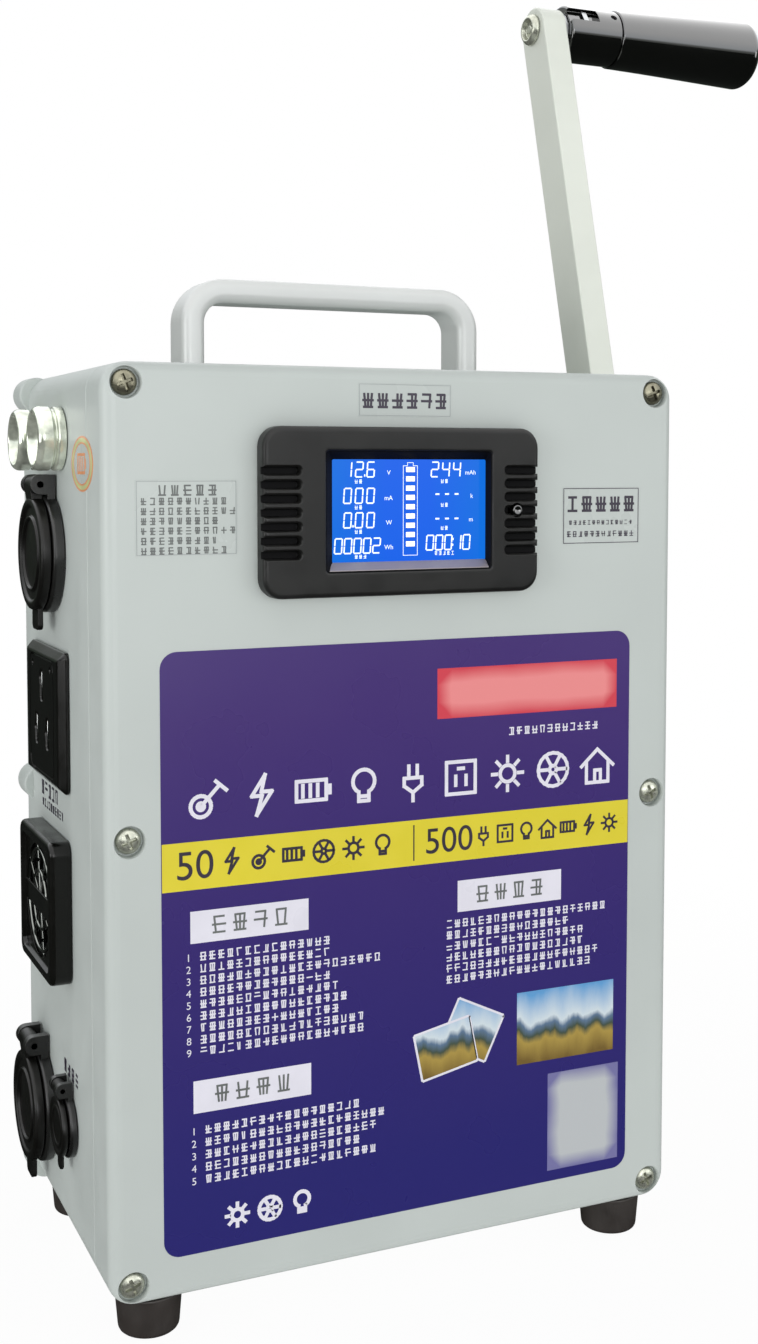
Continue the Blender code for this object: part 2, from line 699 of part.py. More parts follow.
def add_housing_body():
    """Rear shell of the case: back, sides, top and bottom in one moulding."""
    place = (0.0, BACK_Y, MIDDLE_Z)
    outline = rounded_rectangle(CASE_WIDTH, CASE_HEIGHT, CORNER_RADIUS)
    shell = soften_rim(prism(outline, 0.0, BODY_DEPTH), 0.0, EDGE_FILLET, 2)
    body = add_object("housing_body", shell, "housing_grey", place, FACING_FRONT)
    add_rear_lugs(body)
    cut(body, prism(cavity_outline(), CASE_WALL, BODY_DEPTH + OVERRUN), place, FACING_FRONT)
    screw_hole = circle(SCREW_SHANK_DIAMETER / 2 + FIT_GAP, HOLE_STEPS)
    for x, z in screw_places():
        cut(body, prism(screw_hole, -OVERRUN, SCREW_BITE + OVERRUN), (x, SEAM_Y + SCREW_BITE, z),
            FACING_FRONT)
    for x, y in foot_places():
        if y > SEAM_Y:
            cut_foot_hole(body, x, y)
    handle_hole = circle(HANDLE_SCREW_DIAMETER / 2 + FIT_GAP, HOLE_STEPS)
    for x in handle_places():
        cut(body, prism(handle_hole, -CASE_WALL - OVERRUN, OVERRUN), (x, 0.0, CASE_HEIGHT))
    cut_left_fittings(body)
    cut(body, prism(circle(BEARING_BARREL_RADIUS + FIT_GAP, LARGE_STEPS), -CASE_WALL - OVERRUN, OVERRUN),
        (RIGHT_X, 0.0, CRANK_Z), FACING_RIGHT)
    return body


def add_front_lid():
    """Front lid: a shallow pan with a groove for the gasket and a window for the meter."""
    place = (0.0, SEAM_Y, MIDDLE_Z)
    outline = rounded_rectangle(CASE_WIDTH, CASE_HEIGHT, CORNER_RADIUS)
    pan = soften_rim(prism(outline, 0.0, LID_DEPTH), LID_DEPTH, EDGE_FILLET, 2)
    lid = add_object("front_lid", pan, "housing_grey", place, FACING_FRONT)
    cut(lid, prism(cavity_outline(), -OVERRUN, LID_DEPTH - CASE_WALL), place, FACING_FRONT)
    cut(lid, gasket_ring(-FIT_GAP, -OVERRUN, GASKET_HEIGHT + FIT_GAP), place, FACING_FRONT)
    shank_hole = circle(SCREW_SHANK_DIAMETER / 2 + FIT_GAP, HOLE_STEPS)
    head_hole = circle(COUNTERBORE_DIAMETER / 2, ROUND_STEPS)
    for x, z in screw_places():
        cut(lid, prism(shank_hole, -OVERRUN, LID_DEPTH + OVERRUN), (x, SEAM_Y, z), FACING_FRONT)
        cut(lid, prism(head_hole, LID_DEPTH - COUNTERBORE_DEPTH, LID_DEPTH + OVERRUN),
            (x, SEAM_Y, z), FACING_FRONT)
    for x, y in foot_places():
        if y < SEAM_Y:
            cut_foot_hole(lid, x, y)
    window = rounded_rectangle(METER_BODY_WIDTH + 2 * FIT_GAP, METER_BODY_HEIGHT + 2 * FIT_GAP,
                               METER_SIDE_WALL)
    cut(lid, prism(window, LID_DEPTH - CASE_WALL - OVERRUN, LID_DEPTH + OVERRUN),
        (METER_X, SEAM_Y, METER_Z), FACING_FRONT)
    return lid


def gasket_ring(shrink, bottom, top):
    """Ring that follows the case's rim, narrowed on both sides by the shrink."""
    outlines = []
    for inset in (GASKET_INSET + shrink, GASKET_INSET + GASKET_WIDTH - shrink):
        outlines.append(rounded_rectangle(CASE_WIDTH - 2 * inset, CASE_HEIGHT - 2 * inset,
                                          CORNER_RADIUS - inset))
    return ring_prism(outlines[0], outlines[1], bottom, top)


def add_lid_gasket():
    """Rubber cord in the groove of the lid, between the two halves of the case."""
    add_object("lid_gasket", gasket_ring(0.0, 0.0, GASKET_HEIGHT), "gasket_black",
               (0.0, SEAM_Y, MIDDLE_Z), FACING_FRONT)


def add_lid_screws():
    """Six pan head screws, each in its counterbore in the lid."""
    seat = LID_DEPTH - COUNTERBORE_DEPTH
    for number, (x, z) in enumerate(screw_places(), 1):
        mesh = screw_mesh(SCREW_HEAD_DIAMETER, SCREW_HEAD_HEIGHT, SCREW_SHANK_DIAMETER,
                          seat + SCREW_BITE)
        add_object(f"lid_screw_{number}", mesh, "zinc_screw", (x, SEAM_Y - seat - FIT_GAP, z),
                   FACING_FRONT)


def add_feet():
    """Four tapered rubber feet, each held by a screw from below."""
    hole = FOOT_SCREW_DIAMETER / 2 + FIT_GAP
    recess = FOOT_RECESS_DIAMETER / 2
    base = -FIT_GAP - FOOT_HEIGHT
    seat = base + FOOT_RECESS_DEPTH
    profile = [(hole, -FIT_GAP), (FOOT_TOP_DIAMETER / 2, -FIT_GAP), (FOOT_BASE_DIAMETER / 2, base),
               (recess, base), (recess, seat), (hole, seat)]
    length = FOOT_HEIGHT - FOOT_RECESS_DEPTH + CASE_WALL + FOOT_SCREW_TIP
    for number, (x, y) in enumerate(foot_places(), 1):
        add_object(f"foot_{number}", turned(profile, ROUND_STEPS), "rubber_black", (x, y, 0.0))
        mesh = screw_mesh(FOOT_SCREW_HEAD_DIAMETER, FOOT_SCREW_HEAD_HEIGHT, FOOT_SCREW_DIAMETER,
                          length)
        add_object(f"foot_screw_{number}", mesh, "zinc_screw", (x, y, seat - FIT_GAP), FACING_DOWN)


# Carry handle

def handle_rings():
    """Sections of the handle bar, along its path up, over and down."""
    section = rounded_rectangle(HANDLE_THICKNESS, HANDLE_DEPTH, HANDLE_EDGE_RADIUS, 2)
    reach = HANDLE_PITCH / 2 - HANDLE_BEND_RADIUS
    bend_z = CASE_HEIGHT + HANDLE_HEIGHT - HANDLE_THICKNESS / 2 - HANDLE_BEND_RADIUS
    stations = [(HANDLE_PITCH / 2, CASE_HEIGHT + FIT_GAP, 0.0)]
    for side, start in ((1, 0.0), (-1, math.pi / 2)):
        for step in range(7):
            turn = start + math.pi / 2 * step / 6
            stations.append((side * reach + HANDLE_BEND_RADIUS * math.cos(turn),
                             bend_z + HANDLE_BEND_RADIUS * math.sin(turn), turn))
    stations.append((-HANDLE_PITCH / 2, CASE_HEIGHT + FIT_GAP, math.pi))
    rings = []
    for x, z, turn in stations:
        rings.append([(HANDLE_CENTRE_X + x + across * math.cos(turn), y, z + across * math.sin(turn))
                      for across, y in section])
    return rings


def add_carry_handle():
    """Bent aluminium bar on top of the case, with two screws from inside."""
    handle = add_object("carry_handle", lofted(handle_rings()), "handle_aluminium")
    hole = circle(HANDLE_SCREW_DIAMETER / 2 + FIT_GAP, HOLE_STEPS)
    inside = CASE_HEIGHT - CASE_WALL - FIT_GAP
    for number, x in enumerate(handle_places(), 1):
        cut(handle, prism(hole, -OVERRUN, HANDLE_SCREW_BITE + OVERRUN), (x, 0.0, CASE_HEIGHT))
        mesh = screw_mesh(HANDLE_SCREW_HEAD_DIAMETER, HANDLE_SCREW_HEAD_HEIGHT,
                          HANDLE_SCREW_DIAMETER, CASE_WALL + HANDLE_SCREW_BITE)
        add_object(f"handle_screw_{number}", mesh, "zinc_screw", (x, 0.0, inside), FACING_DOWN)


# Meter

def reveal_mesh():
    """Sloped window through the meter's front wall, wide in front and screen-sized behind."""
    front = METER_PROUD + OVERRUN
    back = METER_PROUD - METER_FRONT_WALL
    slope = (METER_PROUD + OVERRUN - back) / METER_FRONT_WALL
    rings = []
    for height, share in ((back - OVERRUN, 0.0), (back, 0.0), (front, slope)):
        width = SCREEN_WIDTH + (WINDOW_WIDTH - SCREEN_WIDTH) * share
        tall = SCREEN_HEIGHT + (WINDOW_HEIGHT - SCREEN_HEIGHT) * share
        x = SCREEN_X + (WINDOW_X - SCREEN_X) * share - METER_X
        outline = rounded_rectangle(width, tall, METER_EDGE_BEVEL, 2)
        rings.append([(x + across, WINDOW_Z - METER_Z + up, height) for across, up in outline])
    return lofted(rings)


def add_meter_bezel():
    """Meter case: a thick front frame with ribbed ends and a hollow body behind the lid."""
    place = (METER_X, FRONT_Y, METER_Z)
    outline = rounded_rectangle(METER_WIDTH, METER_HEIGHT, METER_CORNER_RADIUS)
    frame = soften_rim(prism(outline, FIT_GAP, METER_PROUD), METER_PROUD, METER_EDGE_BEVEL, 2)
    bezel = add_object("meter_bezel", frame, "moulded_black", place, FACING_FRONT)
    tub = rounded_rectangle(METER_BODY_WIDTH, METER_BODY_HEIGHT, METER_SIDE_WALL, 3)
    join(bezel, prism(tub, -METER_BODY_DEPTH, METER_PROUD / 2), place, FACING_FRONT)
    hollow = box(METER_BODY_WIDTH - 2 * METER_SIDE_WALL, METER_BODY_HEIGHT - 2 * METER_SIDE_WALL,
                 METER_BODY_DEPTH + OVERRUN + METER_PROUD - METER_FRONT_WALL,
                 (0.0, 0.0, (METER_PROUD - METER_FRONT_WALL - METER_BODY_DEPTH - OVERRUN) / 2))
    cut(bezel, hollow, place, FACING_FRONT)
    cut(bezel, reveal_mesh(), place, FACING_FRONT)
    cut_grip_ribs(bezel)
    cut(bezel, prism(circle(BUTTON_DIAMETER / 2 + FIT_GAP, HOLE_STEPS), -OVERRUN, METER_PROUD + OVERRUN),
        (BUTTON_X, FRONT_Y, METER_Z), FACING_FRONT)
    return bezel


def cut_grip_ribs(bezel):
    """Cut the grooves that leave a row of ribs at each end of the meter's frame."""
    for side in (-1, 1):
        edge = METER_X + side * METER_WIDTH / 2
        groove = box(2 * GRIP_ZONE_WIDTH, GRIP_GROOVE_HEIGHT, 2 * GRIP_GROOVE_DEPTH)
        row = cut(bezel, groove, (edge, FRONT_Y - METER_PROUD, METER_Z), FACING_FRONT)
        repeat_tool(row, GRIP_RIB_COUNT, (0.0, GRIP_RIB_PITCH, 0.0))


def add_meter_inside():
    """Screen, circuit board and button behind the meter's front wall."""
    screen_top = METER_PROUD - METER_FRONT_WALL - FIT_GAP
    screen = box(SCREEN_WIDTH + 2 * LCD_BORDER, SCREEN_HEIGHT + 2 * LCD_BORDER, LCD_THICKNESS,
                 (0.0, 0.0, screen_top - LCD_THICKNESS / 2))
    add_object("meter_lcd", screen, "meter_screen", (SCREEN_X, FRONT_Y, WINDOW_Z), FACING_FRONT)
    board_top = screen_top - LCD_THICKNESS - FIT_GAP
    board_mesh = box(METER_BODY_WIDTH - 2 * METER_SIDE_WALL - 2 * FIT_GAP,
                     METER_BODY_HEIGHT - 2 * METER_SIDE_WALL - 2 * FIT_GAP, METER_BOARD_THICKNESS,
                     (0.0, 0.0, board_top - METER_BOARD_THICKNESS / 2))
    board = add_object("meter_board", board_mesh, "circuit_green", (METER_X, FRONT_Y, METER_Z),
                       FACING_FRONT)
    flange_back = screen_top - BUTTON_FLANGE_THICKNESS
    switch_top = flange_back - BUTTON_TRAVEL - FIT_GAP
    switch_foot = board_top - METER_BOARD_THICKNESS / 2
    join(board, box(SWITCH_WIDTH, SWITCH_WIDTH, switch_top - switch_foot,
                    (0.0, 0.0, (switch_top + switch_foot) / 2)),
         (BUTTON_X, FRONT_Y, METER_Z), FACING_FRONT)
    stem = BUTTON_DIAMETER / 2
    flange = BUTTON_FLANGE_DIAMETER / 2
    button_top = METER_PROUD + BUTTON_PROUD
    profile = [(0.0, flange_back), (flange, flange_back), (flange, screen_top), (stem, screen_top),
               (stem, button_top), (0.0, button_top)]
    add_object("meter_button", turned(profile, HOLE_STEPS), "moulded_black",
               (BUTTON_X, FRONT_Y, METER_Z), FACING_FRONT)


# Lamps

def add_lamps():
    """Two chrome lamp cups with their lenses, each held by a nut inside the wall."""
    barrel = LAMP_BARREL_DIAMETER / 2
    bore = LAMP_BORE_DIAMETER / 2
    flange = LAMP_DIAMETER / 2
    cup = LAMP_CUP_DIAMETER / 2
    floor = LAMP_PROUD - LAMP_CUP_DEPTH
    rim = (flange + cup) / 2
    housing = [(bore, -LAMP_BARREL_LENGTH), (barrel, -LAMP_BARREL_LENGTH), (barrel, FIT_GAP),
               (flange, FIT_GAP), (flange, LAMP_PROUD - (flange - rim)), (rim, LAMP_PROUD),
               (cup, LAMP_PROUD - (rim - cup) / 2), (LAMP_CUP_FLOOR_DIAMETER / 2, floor), (bore, floor)]
    seat = floor + FIT_GAP
    lens_radius = LAMP_LENS_DIAMETER / 2
    stem = bore - FIT_GAP
    dome = [(lens_radius * math.cos(turn), seat + LAMP_LENS_HEIGHT * math.sin(turn))
            for turn in (math.pi / 2 * step / 4 for step in range(4))]
    lens = [(0.0, seat - LAMP_LENS_STEM), (stem, seat - LAMP_LENS_STEM), (stem, seat)] + dome
    lens.append((0.0, seat + LAMP_LENS_HEIGHT))
    nut_top = -CASE_WALL - FIT_GAP
    nut_outer = turned_outline(circle(LAMP_NUT_WIDTH / math.sqrt(3), 6), math.pi / 6)
    for number, y in enumerate(LAMP_YS, 1):
        place = (LEFT_X, y, LAMP_Z)
        add_object(f"lamp_housing_{number}", turned(housing, LARGE_STEPS), "chrome", place, FACING_LEFT)
        add_object(f"lamp_lens_{number}", turned(lens, HOLE_STEPS), "lamp_lens", place, FACING_LEFT)
        nut = add_object(f"lamp_nut_{number}", prism(nut_outer, nut_top - LAMP_NUT_THICKNESS, nut_top),
                         "steel", place, FACING_LEFT)
        cut(nut, prism(circle(barrel + FIT_GAP, ROUND_STEPS), nut_top - LAMP_NUT_THICKNESS - OVERRUN,
                       nut_top + OVERRUN), place, FACING_LEFT)


def turned_outline(outline, turn):
    """Turn an outline about its own middle."""
    cosine, sine = math.cos(turn), math.sin(turn)
    return [(x * cosine - y * sine, x * sine + y * cosine) for x, y in outline]


# Covered sockets

@dataclass
class SocketSize:
    """Sizes of a round socket and of the cover that is hinged to its top."""
    flange_radius: float
    flange_thickness: float
    barrel_radius: float
    barrel_length: float
    cover_radius: float
    cover_thickness: float
    cover_rim: float
    cover_recess: float
    plug_radius: float
    plug_depth: float
    hinge_rise: float
    hinge_stand: float
    hinge_radius: float
    knuckle_width: float
    ear_width: float
    pin_radius: float
    tab_width: float
    tab_length: float
    steps: int


POWER_SIZE = SocketSize(
    BIG_FLANGE_RADIUS, BIG_FLANGE_THICKNESS, BIG_BARREL_RADIUS, BIG_BARREL_LENGTH, BIG_COVER_RADIUS,
    BIG_COVER_THICKNESS, BIG_COVER_RIM, BIG_COVER_RECESS, BIG_PLUG_RADIUS, BIG_PLUG_DEPTH,
    BIG_HINGE_RISE, BIG_HINGE_STAND, BIG_HINGE_RADIUS, BIG_KNUCKLE_WIDTH, BIG_EAR_WIDTH,
    BIG_PIN_RADIUS, BIG_TAB_WIDTH, BIG_TAB_LENGTH, LARGE_STEPS)
USB_SIZE = SocketSize(
    BIG_FLANGE_RADIUS, BIG_FLANGE_THICKNESS, BIG_BARREL_RADIUS, BIG_BARREL_LENGTH, BIG_COVER_RADIUS,
    BIG_COVER_THICKNESS, BIG_COVER_RIM, BIG_COVER_RECESS, USB_PLUG_RADIUS, USB_PLUG_DEPTH,
    BIG_HINGE_RISE, BIG_HINGE_STAND, BIG_HINGE_RADIUS, BIG_KNUCKLE_WIDTH, BIG_EAR_WIDTH,
    BIG_PIN_RADIUS, BIG_TAB_WIDTH, BIG_TAB_LENGTH, LARGE_STEPS)
JACK_SIZE = SocketSize(
    JACK_FLANGE_RADIUS, JACK_FLANGE_THICKNESS, JACK_BARREL_RADIUS, JACK_BARREL_LENGTH,
    JACK_COVER_RADIUS, JACK_COVER_THICKNESS, JACK_COVER_RIM, JACK_COVER_RECESS, JACK_PLUG_RADIUS,
    JACK_PLUG_DEPTH, JACK_HINGE_RISE, JACK_HINGE_STAND, JACK_HINGE_RADIUS, JACK_KNUCKLE_WIDTH,
    JACK_EAR_WIDTH, JACK_PIN_RADIUS, JACK_TAB_WIDTH, JACK_TAB_LENGTH, ROUND_STEPS)


def hinge_ear(size):
    """Side view of a hinge ear: a foot on the flange and a round head about the pin."""
    foot_x = size.flange_radius - size.hinge_radius
    head = arc(size.hinge_rise, size.hinge_stand, size.hinge_radius, 0.0, math.pi, 6)
    inner_x = size.hinge_rise - size.hinge_radius
    foot = [(foot_x, 2 * FIT_GAP), (size.hinge_rise + size.hinge_radius, 2 * FIT_GAP)]
    root_z = size.flange_thickness / 2
    return foot + head + [(inner_x, root_z), (foot_x, root_z)]


def across_prism(outline, width, offset=0.0):
    """Straight solid along the socket's own Y, from an outline in its X and Z."""
    mesh = prism(outline, offset - width / 2, offset + width / 2)
    upright = Matrix.Rotation(math.pi / 2, 4, "X")
    bmesh.ops.transform(mesh, matrix=upright, verts=mesh.verts)
    return mesh


def add_socket_shell(name, size, y, z):
    """Round socket with its flange on the wall and a pair of hinge ears at the top."""
    place = (LEFT_X, y, z)
    edge = size.flange_thickness / 4
    profile = [(0.0, -size.barrel_length), (size.barrel_radius, -size.barrel_length),
               (size.barrel_radius, FIT_GAP), (size.flange_radius, FIT_GAP),
               (size.flange_radius, size.flange_thickness - edge),
               (size.flange_radius - edge, size.flange_thickness), (0.0, size.flange_thickness)]
    shell = add_object(name, turned(profile, size.steps), "moulded_black", place, FACING_LEFT)
    offset = (size.knuckle_width + size.ear_width) / 2 + FIT_GAP
    for side in (-1, 1):
        join(shell, across_prism(hinge_ear(size), size.ear_width, side * offset), place, FACING_LEFT)
    pin_hole = circle(size.pin_radius + FIT_GAP, HOLE_STEPS, size.hinge_rise, size.hinge_stand)
    cut(shell, across_prism(pin_hole, 2 * (offset + size.ear_width)), place, FACING_LEFT)
    return shell


def cover_arm(size, base, face):
    """Side view of a cover's arm, which ends in the round knuckle on the pin."""
    knuckle = size.hinge_radius - FIT_GAP
    lift = size.cover_thickness / 8
    low = base + lift
    start = math.asin((size.hinge_stand - low) / knuckle)
    inner_x = size.cover_radius - size.cover_rim / 2
    head = arc(size.hinge_rise, size.hinge_stand, knuckle, math.pi + start, math.tau + math.pi / 2, 8)
    return [(inner_x, low)] + head + [(inner_x, face - 2 * lift)]


def add_socket_cover(name, size, y, z):
    """Round cover on its own hinge pivot, with a dished face, a plug behind and a finger tab."""
    pivot = add_pivot(f"{name}_hinge", (LEFT_X - size.hinge_stand, y, z + size.hinge_rise), FACING_LEFT)
    middle = (-size.hinge_rise, 0.0, -size.hinge_stand)
    base = size.flange_thickness + FIT_GAP
    face = base + size.cover_thickness
    edge = size.cover_thickness / 4
    dish = size.cover_radius - size.cover_rim
    plug_tip = size.flange_thickness - size.plug_depth
    profile = [(0.0, plug_tip), (size.plug_radius - size.plug_depth / 8, plug_tip),
               (size.plug_radius, base), (size.cover_radius, base), (size.cover_radius, face - edge),
               (size.cover_radius - edge, face), (dish, face), (0.0, face - size.cover_recess)]
    cover = add_object(name, turned(profile, size.steps), "rubber_black", middle, FACING_UP, pivot)
    join(cover, across_prism(cover_arm(size, base, face), size.knuckle_width), middle, FACING_UP,
         pivot)
    tab_reach = size.cover_radius + size.tab_length
    tab = box(2 * size.tab_length, size.tab_width, size.cover_thickness / 2,
              (-tab_reach + size.tab_length, 0.0, base + size.cover_thickness / 4))
    join(cover, tab, middle, FACING_UP, pivot)
    pin_hole = circle(size.pin_radius + FIT_GAP, HOLE_STEPS, size.hinge_rise, size.hinge_stand)
    cut(cover, across_prism(pin_hole, 2 * size.knuckle_width), middle, FACING_UP, pivot)
    return cover


def add_hinge_pin(name, size, y, z):
    """Steel pin through the ears and the cover's knuckle."""
    length = size.knuckle_width + 2 * (size.ear_width + FIT_GAP)
    mesh = prism(circle(size.pin_radius, HOLE_STEPS), -length / 2, length / 2)
    add_object(name, mesh, "steel", (LEFT_X - size.hinge_stand, y, z + size.hinge_rise), FACING_FRONT)


def add_power_socket():
    """Vehicle-lighter socket with a centre contact at the bottom of its bore."""
    shell = add_socket_shell("power_socket", POWER_SIZE, POWER_SOCKET_Y, POWER_SOCKET_Z)
    floor = BIG_FLANGE_THICKNESS - BIG_BORE_DEPTH
    place = (LEFT_X, POWER_SOCKET_Y, POWER_SOCKET_Z)
    bore = turned([(0.0, floor + BIG_CONTACT_HEIGHT), (BIG_CONTACT_RADIUS, floor + BIG_CONTACT_HEIGHT),
                   (BIG_CONTACT_RADIUS, floor), (BIG_BORE_RADIUS, floor),
                   (BIG_BORE_RADIUS, BIG_FLANGE_THICKNESS + OVERRUN),
                   (0.0, BIG_FLANGE_THICKNESS + OVERRUN)], ROUND_STEPS)
    cut(shell, bore, place, FACING_LEFT)
    add_socket_cover("power_cover", POWER_SIZE, POWER_SOCKET_Y, POWER_SOCKET_Z)
    add_hinge_pin("power_hinge_pin", POWER_SIZE, POWER_SOCKET_Y, POWER_SOCKET_Z)


def add_usb_socket():
    """Socket of the same form with two flat charging ports in its sunken face."""
    shell = add_socket_shell("usb_socket", USB_SIZE, USB_SOCKET_Y, USB_SOCKET_Z)
    place = (LEFT_X, USB_SOCKET_Y, USB_SOCKET_Z)
    face = BIG_FLANGE_THICKNESS - USB_FACE_DEPTH
    cut(shell, prism(circle(USB_FACE_RADIUS, LARGE_STEPS), face, BIG_FLANGE_THICKNESS + OVERRUN), place,
        FACING_LEFT)
    port = box(USB_SLOT_HEIGHT, USB_SLOT_WIDTH, USB_SLOT_DEPTH + OVERRUN,
               (0.0, 0.0, face + (OVERRUN - USB_SLOT_DEPTH) / 2))
    ports = cut(shell, port, place, FACING_LEFT)
    repeat_tool(ports, 2, (USB_SLOT_PITCH, 0.0, 0.0))
    add_socket_cover("usb_cover", USB_SIZE, USB_SOCKET_Y, USB_SOCKET_Z)
    add_hinge_pin("usb_hinge_pin", USB_SIZE, USB_SOCKET_Y, USB_SOCKET_Z)


def add_jack_socket():
    """Small charging jack with a centre pin."""
    shell = add_socket_shell("jack_socket", JACK_SIZE, JACK_Y, JACK_Z)
    floor = JACK_FLANGE_THICKNESS - JACK_BORE_DEPTH
    bore = turned([(0.0, floor + JACK_CONTACT_HEIGHT), (JACK_CONTACT_RADIUS, floor + JACK_CONTACT_HEIGHT),
                   (JACK_CONTACT_RADIUS, floor), (JACK_BORE_RADIUS, floor),
                   (JACK_BORE_RADIUS, JACK_FLANGE_THICKNESS + OVERRUN),
                   (0.0, JACK_FLANGE_THICKNESS + OVERRUN)], ROUND_STEPS)
    cut(shell, bore, (LEFT_X, JACK_Y, JACK_Z), FACING_LEFT)
    add_socket_cover("jack_cover", JACK_SIZE, JACK_Y, JACK_Z)
    add_hinge_pin("jack_hinge_pin", JACK_SIZE, JACK_Y, JACK_Z)


# Mains outlet

def add_mains_outlet():
    """Universal outlet: a bevelled plate with two live slots and an earth slot."""
    place = (LEFT_X, OUTLET_Y, OUTLET_Z)
    outline = rounded_rectangle(OUTLET_HEIGHT, OUTLET_WIDTH, OUTLET_CORNER_RADIUS, 2)
    plate = soften_rim(prism(outline, FIT_GAP, OUTLET_PROUD), OUTLET_PROUD, OUTLET_BEVEL)
    outlet = add_object("mains_outlet", plate, "moulded_black", place, FACING_LEFT)
    tub = rounded_rectangle(OUTLET_BOX_HEIGHT, OUTLET_BOX_WIDTH, OUTLET_CORNER_RADIUS, 2)
    join(outlet, prism(tub, -OUTLET_BOX_DEPTH, OUTLET_PROUD / 2), place, FACING_LEFT)
    slot = stadium(OUTLET_SLOT_HEIGHT, OUTLET_SLOT_WIDTH, 4)
    floor = OUTLET_PROUD - OUTLET_SLOT_DEPTH
    live = cut(outlet, prism(slot, floor, OUTLET_PROUD + OVERRUN),
               (LEFT_X, OUTLET_Y, OUTLET_Z - OUTLET_EARTH_RISE / 2), FACING_LEFT)
    repeat_tool(live, 2, (0.0, OUTLET_SLOT_PITCH, 0.0))
    cut(outlet, prism(turned_outline(slot, math.pi / 2), floor, OUTLET_PROUD + OVERRUN),
        (LEFT_X, OUTLET_Y, OUTLET_Z + OUTLET_EARTH_RISE), FACING_LEFT)
    return outlet


# Cooling fan

def grille_slots():
    """Rings of curved slots between the four slanting arms of the guard's grille."""
    outlines = []
    for ring in range(GRILLE_RING_COUNT):
        inner = GRILLE_HUB_RADIUS + ring * GRILLE_RING_PITCH
        outer = inner + GRILLE_SLOT_WIDTH
        near = math.asin(GRILLE_ARM_WIDTH / 2 / inner)
        far = math.asin(GRILLE_ARM_WIDTH / 2 / outer)
        for quarter in range(4):
            start = math.pi / 4 + quarter * math.pi / 2
            end = start + math.pi / 2
            outlines.append(arc(0.0, 0.0, outer, start + far, end - far, GRILLE_STEPS)
                            + arc(0.0, 0.0, inner, end - near, start + near, GRILLE_STEPS))
    return prisms(outlines, -OVERRUN, GUARD_PROUD)


def add_fan_guard():
    """Square guard over the fan's hole, with a sunk grille of rings and a bore behind it."""
    place = (LEFT_X, FAN_Y, FAN_Z)
    outline = rounded_rectangle(GUARD_WIDTH, GUARD_WIDTH, GUARD_CORNER_RADIUS)
    block = soften_rim(prism(outline, FIT_GAP, GUARD_PROUD), GUARD_PROUD, GUARD_EDGE_BEVEL, 2)
    guard = add_object("fan_guard", block, "moulded_black", place, FACING_LEFT)
    mouth = GUARD_WIDTH - 2 * GUARD_LIP
    cut(guard, prism(rounded_rectangle(mouth, mouth, GUARD_LIP), GRILLE_TOP, GUARD_PROUD + OVERRUN), place,
        FACING_LEFT)
    cut(guard, prism(circle(GUARD_BORE_RADIUS, LARGE_STEPS), -OVERRUN, GRILLE_TOP - GRILLE_THICKNESS), place,
        FACING_LEFT)
    cut(guard, grille_slots(), place, FACING_LEFT)
    return guard


def add_fan_frame():
    """Square fan frame behind the wall, with a four-armed spider that carries the axle."""
    top = -CASE_WALL - FIT_GAP
    bottom = top - FAN_FRAME_DEPTH
    place = (LEFT_X, FAN_Y, FAN_Z)
    outline = rounded_rectangle(FAN_FRAME_WIDTH, FAN_FRAME_WIDTH, FAN_FRAME_CORNER)
    frame = add_object("fan_frame", prism(outline, bottom, top), "moulded_black", place, FACING_LEFT)
    bore = prism(circle(FAN_BORE_RADIUS, LARGE_STEPS), bottom - OVERRUN, top + OVERRUN)
    cut(frame, bore, place, FACING_LEFT)
    spider_top = bottom + FAN_SPIDER_THICKNESS
    arm_reach = 2 * (FAN_BORE_RADIUS + FAN_SPIDER_THICKNESS / 2)
    for turn in (math.pi / 4, -math.pi / 4):
        arm = turned_outline(rounded_rectangle(arm_reach, FAN_SPIDER_ARM_WIDTH,
                                               FAN_SPIDER_ARM_WIDTH / 4, 1), turn)
        join(frame, prism(arm, bottom, spider_top), place, FACING_LEFT)
    axle_top = spider_top + FAN_HUB_DEPTH - FAN_BLADE_THICKNESS
    boss = turned([(0.0, bottom), (FAN_HUB_RADIUS, bottom), (FAN_HUB_RADIUS, spider_top),
                   (FAN_AXLE_RADIUS, spider_top), (FAN_AXLE_RADIUS, axle_top), (0.0, axle_top)], ROUND_STEPS)
    join(frame, boss, place, FACING_LEFT)
    return spider_top


def blade_mesh(height):
    """Twisted fan blade: three sections, each turned less steeply further out."""
    rings = []
    root = FAN_HUB_RADIUS * FAN_BLADE_ROOT_SHARE
    for share in (0.0, 0.5, 1.0):
        radius = root + (FAN_BLADE_REACH - root) * share
        chord = math.tau * radius / FAN_BLADE_COUNT * FAN_BLADE_CHORD_SHARE
        chord *= 1.0 - share * FAN_BLADE_TAPER_SHARE
        pitch = math.atan(math.tan(FAN_BLADE_PITCH) * FAN_HUB_RADIUS / radius * FAN_BLADE_TWIST_SHARE)
        ring = []
        for along, thick in ((-1, -1), (1, -1), (1, 1), (-1, 1)):
            flat = along * chord / 2
            lift = thick * FAN_BLADE_THICKNESS / 2
            ring.append((radius, flat * math.cos(pitch) - lift * math.sin(pitch),
                         height + flat * math.sin(pitch) + lift * math.cos(pitch)))
        rings.append(ring)
    return lofted(rings)


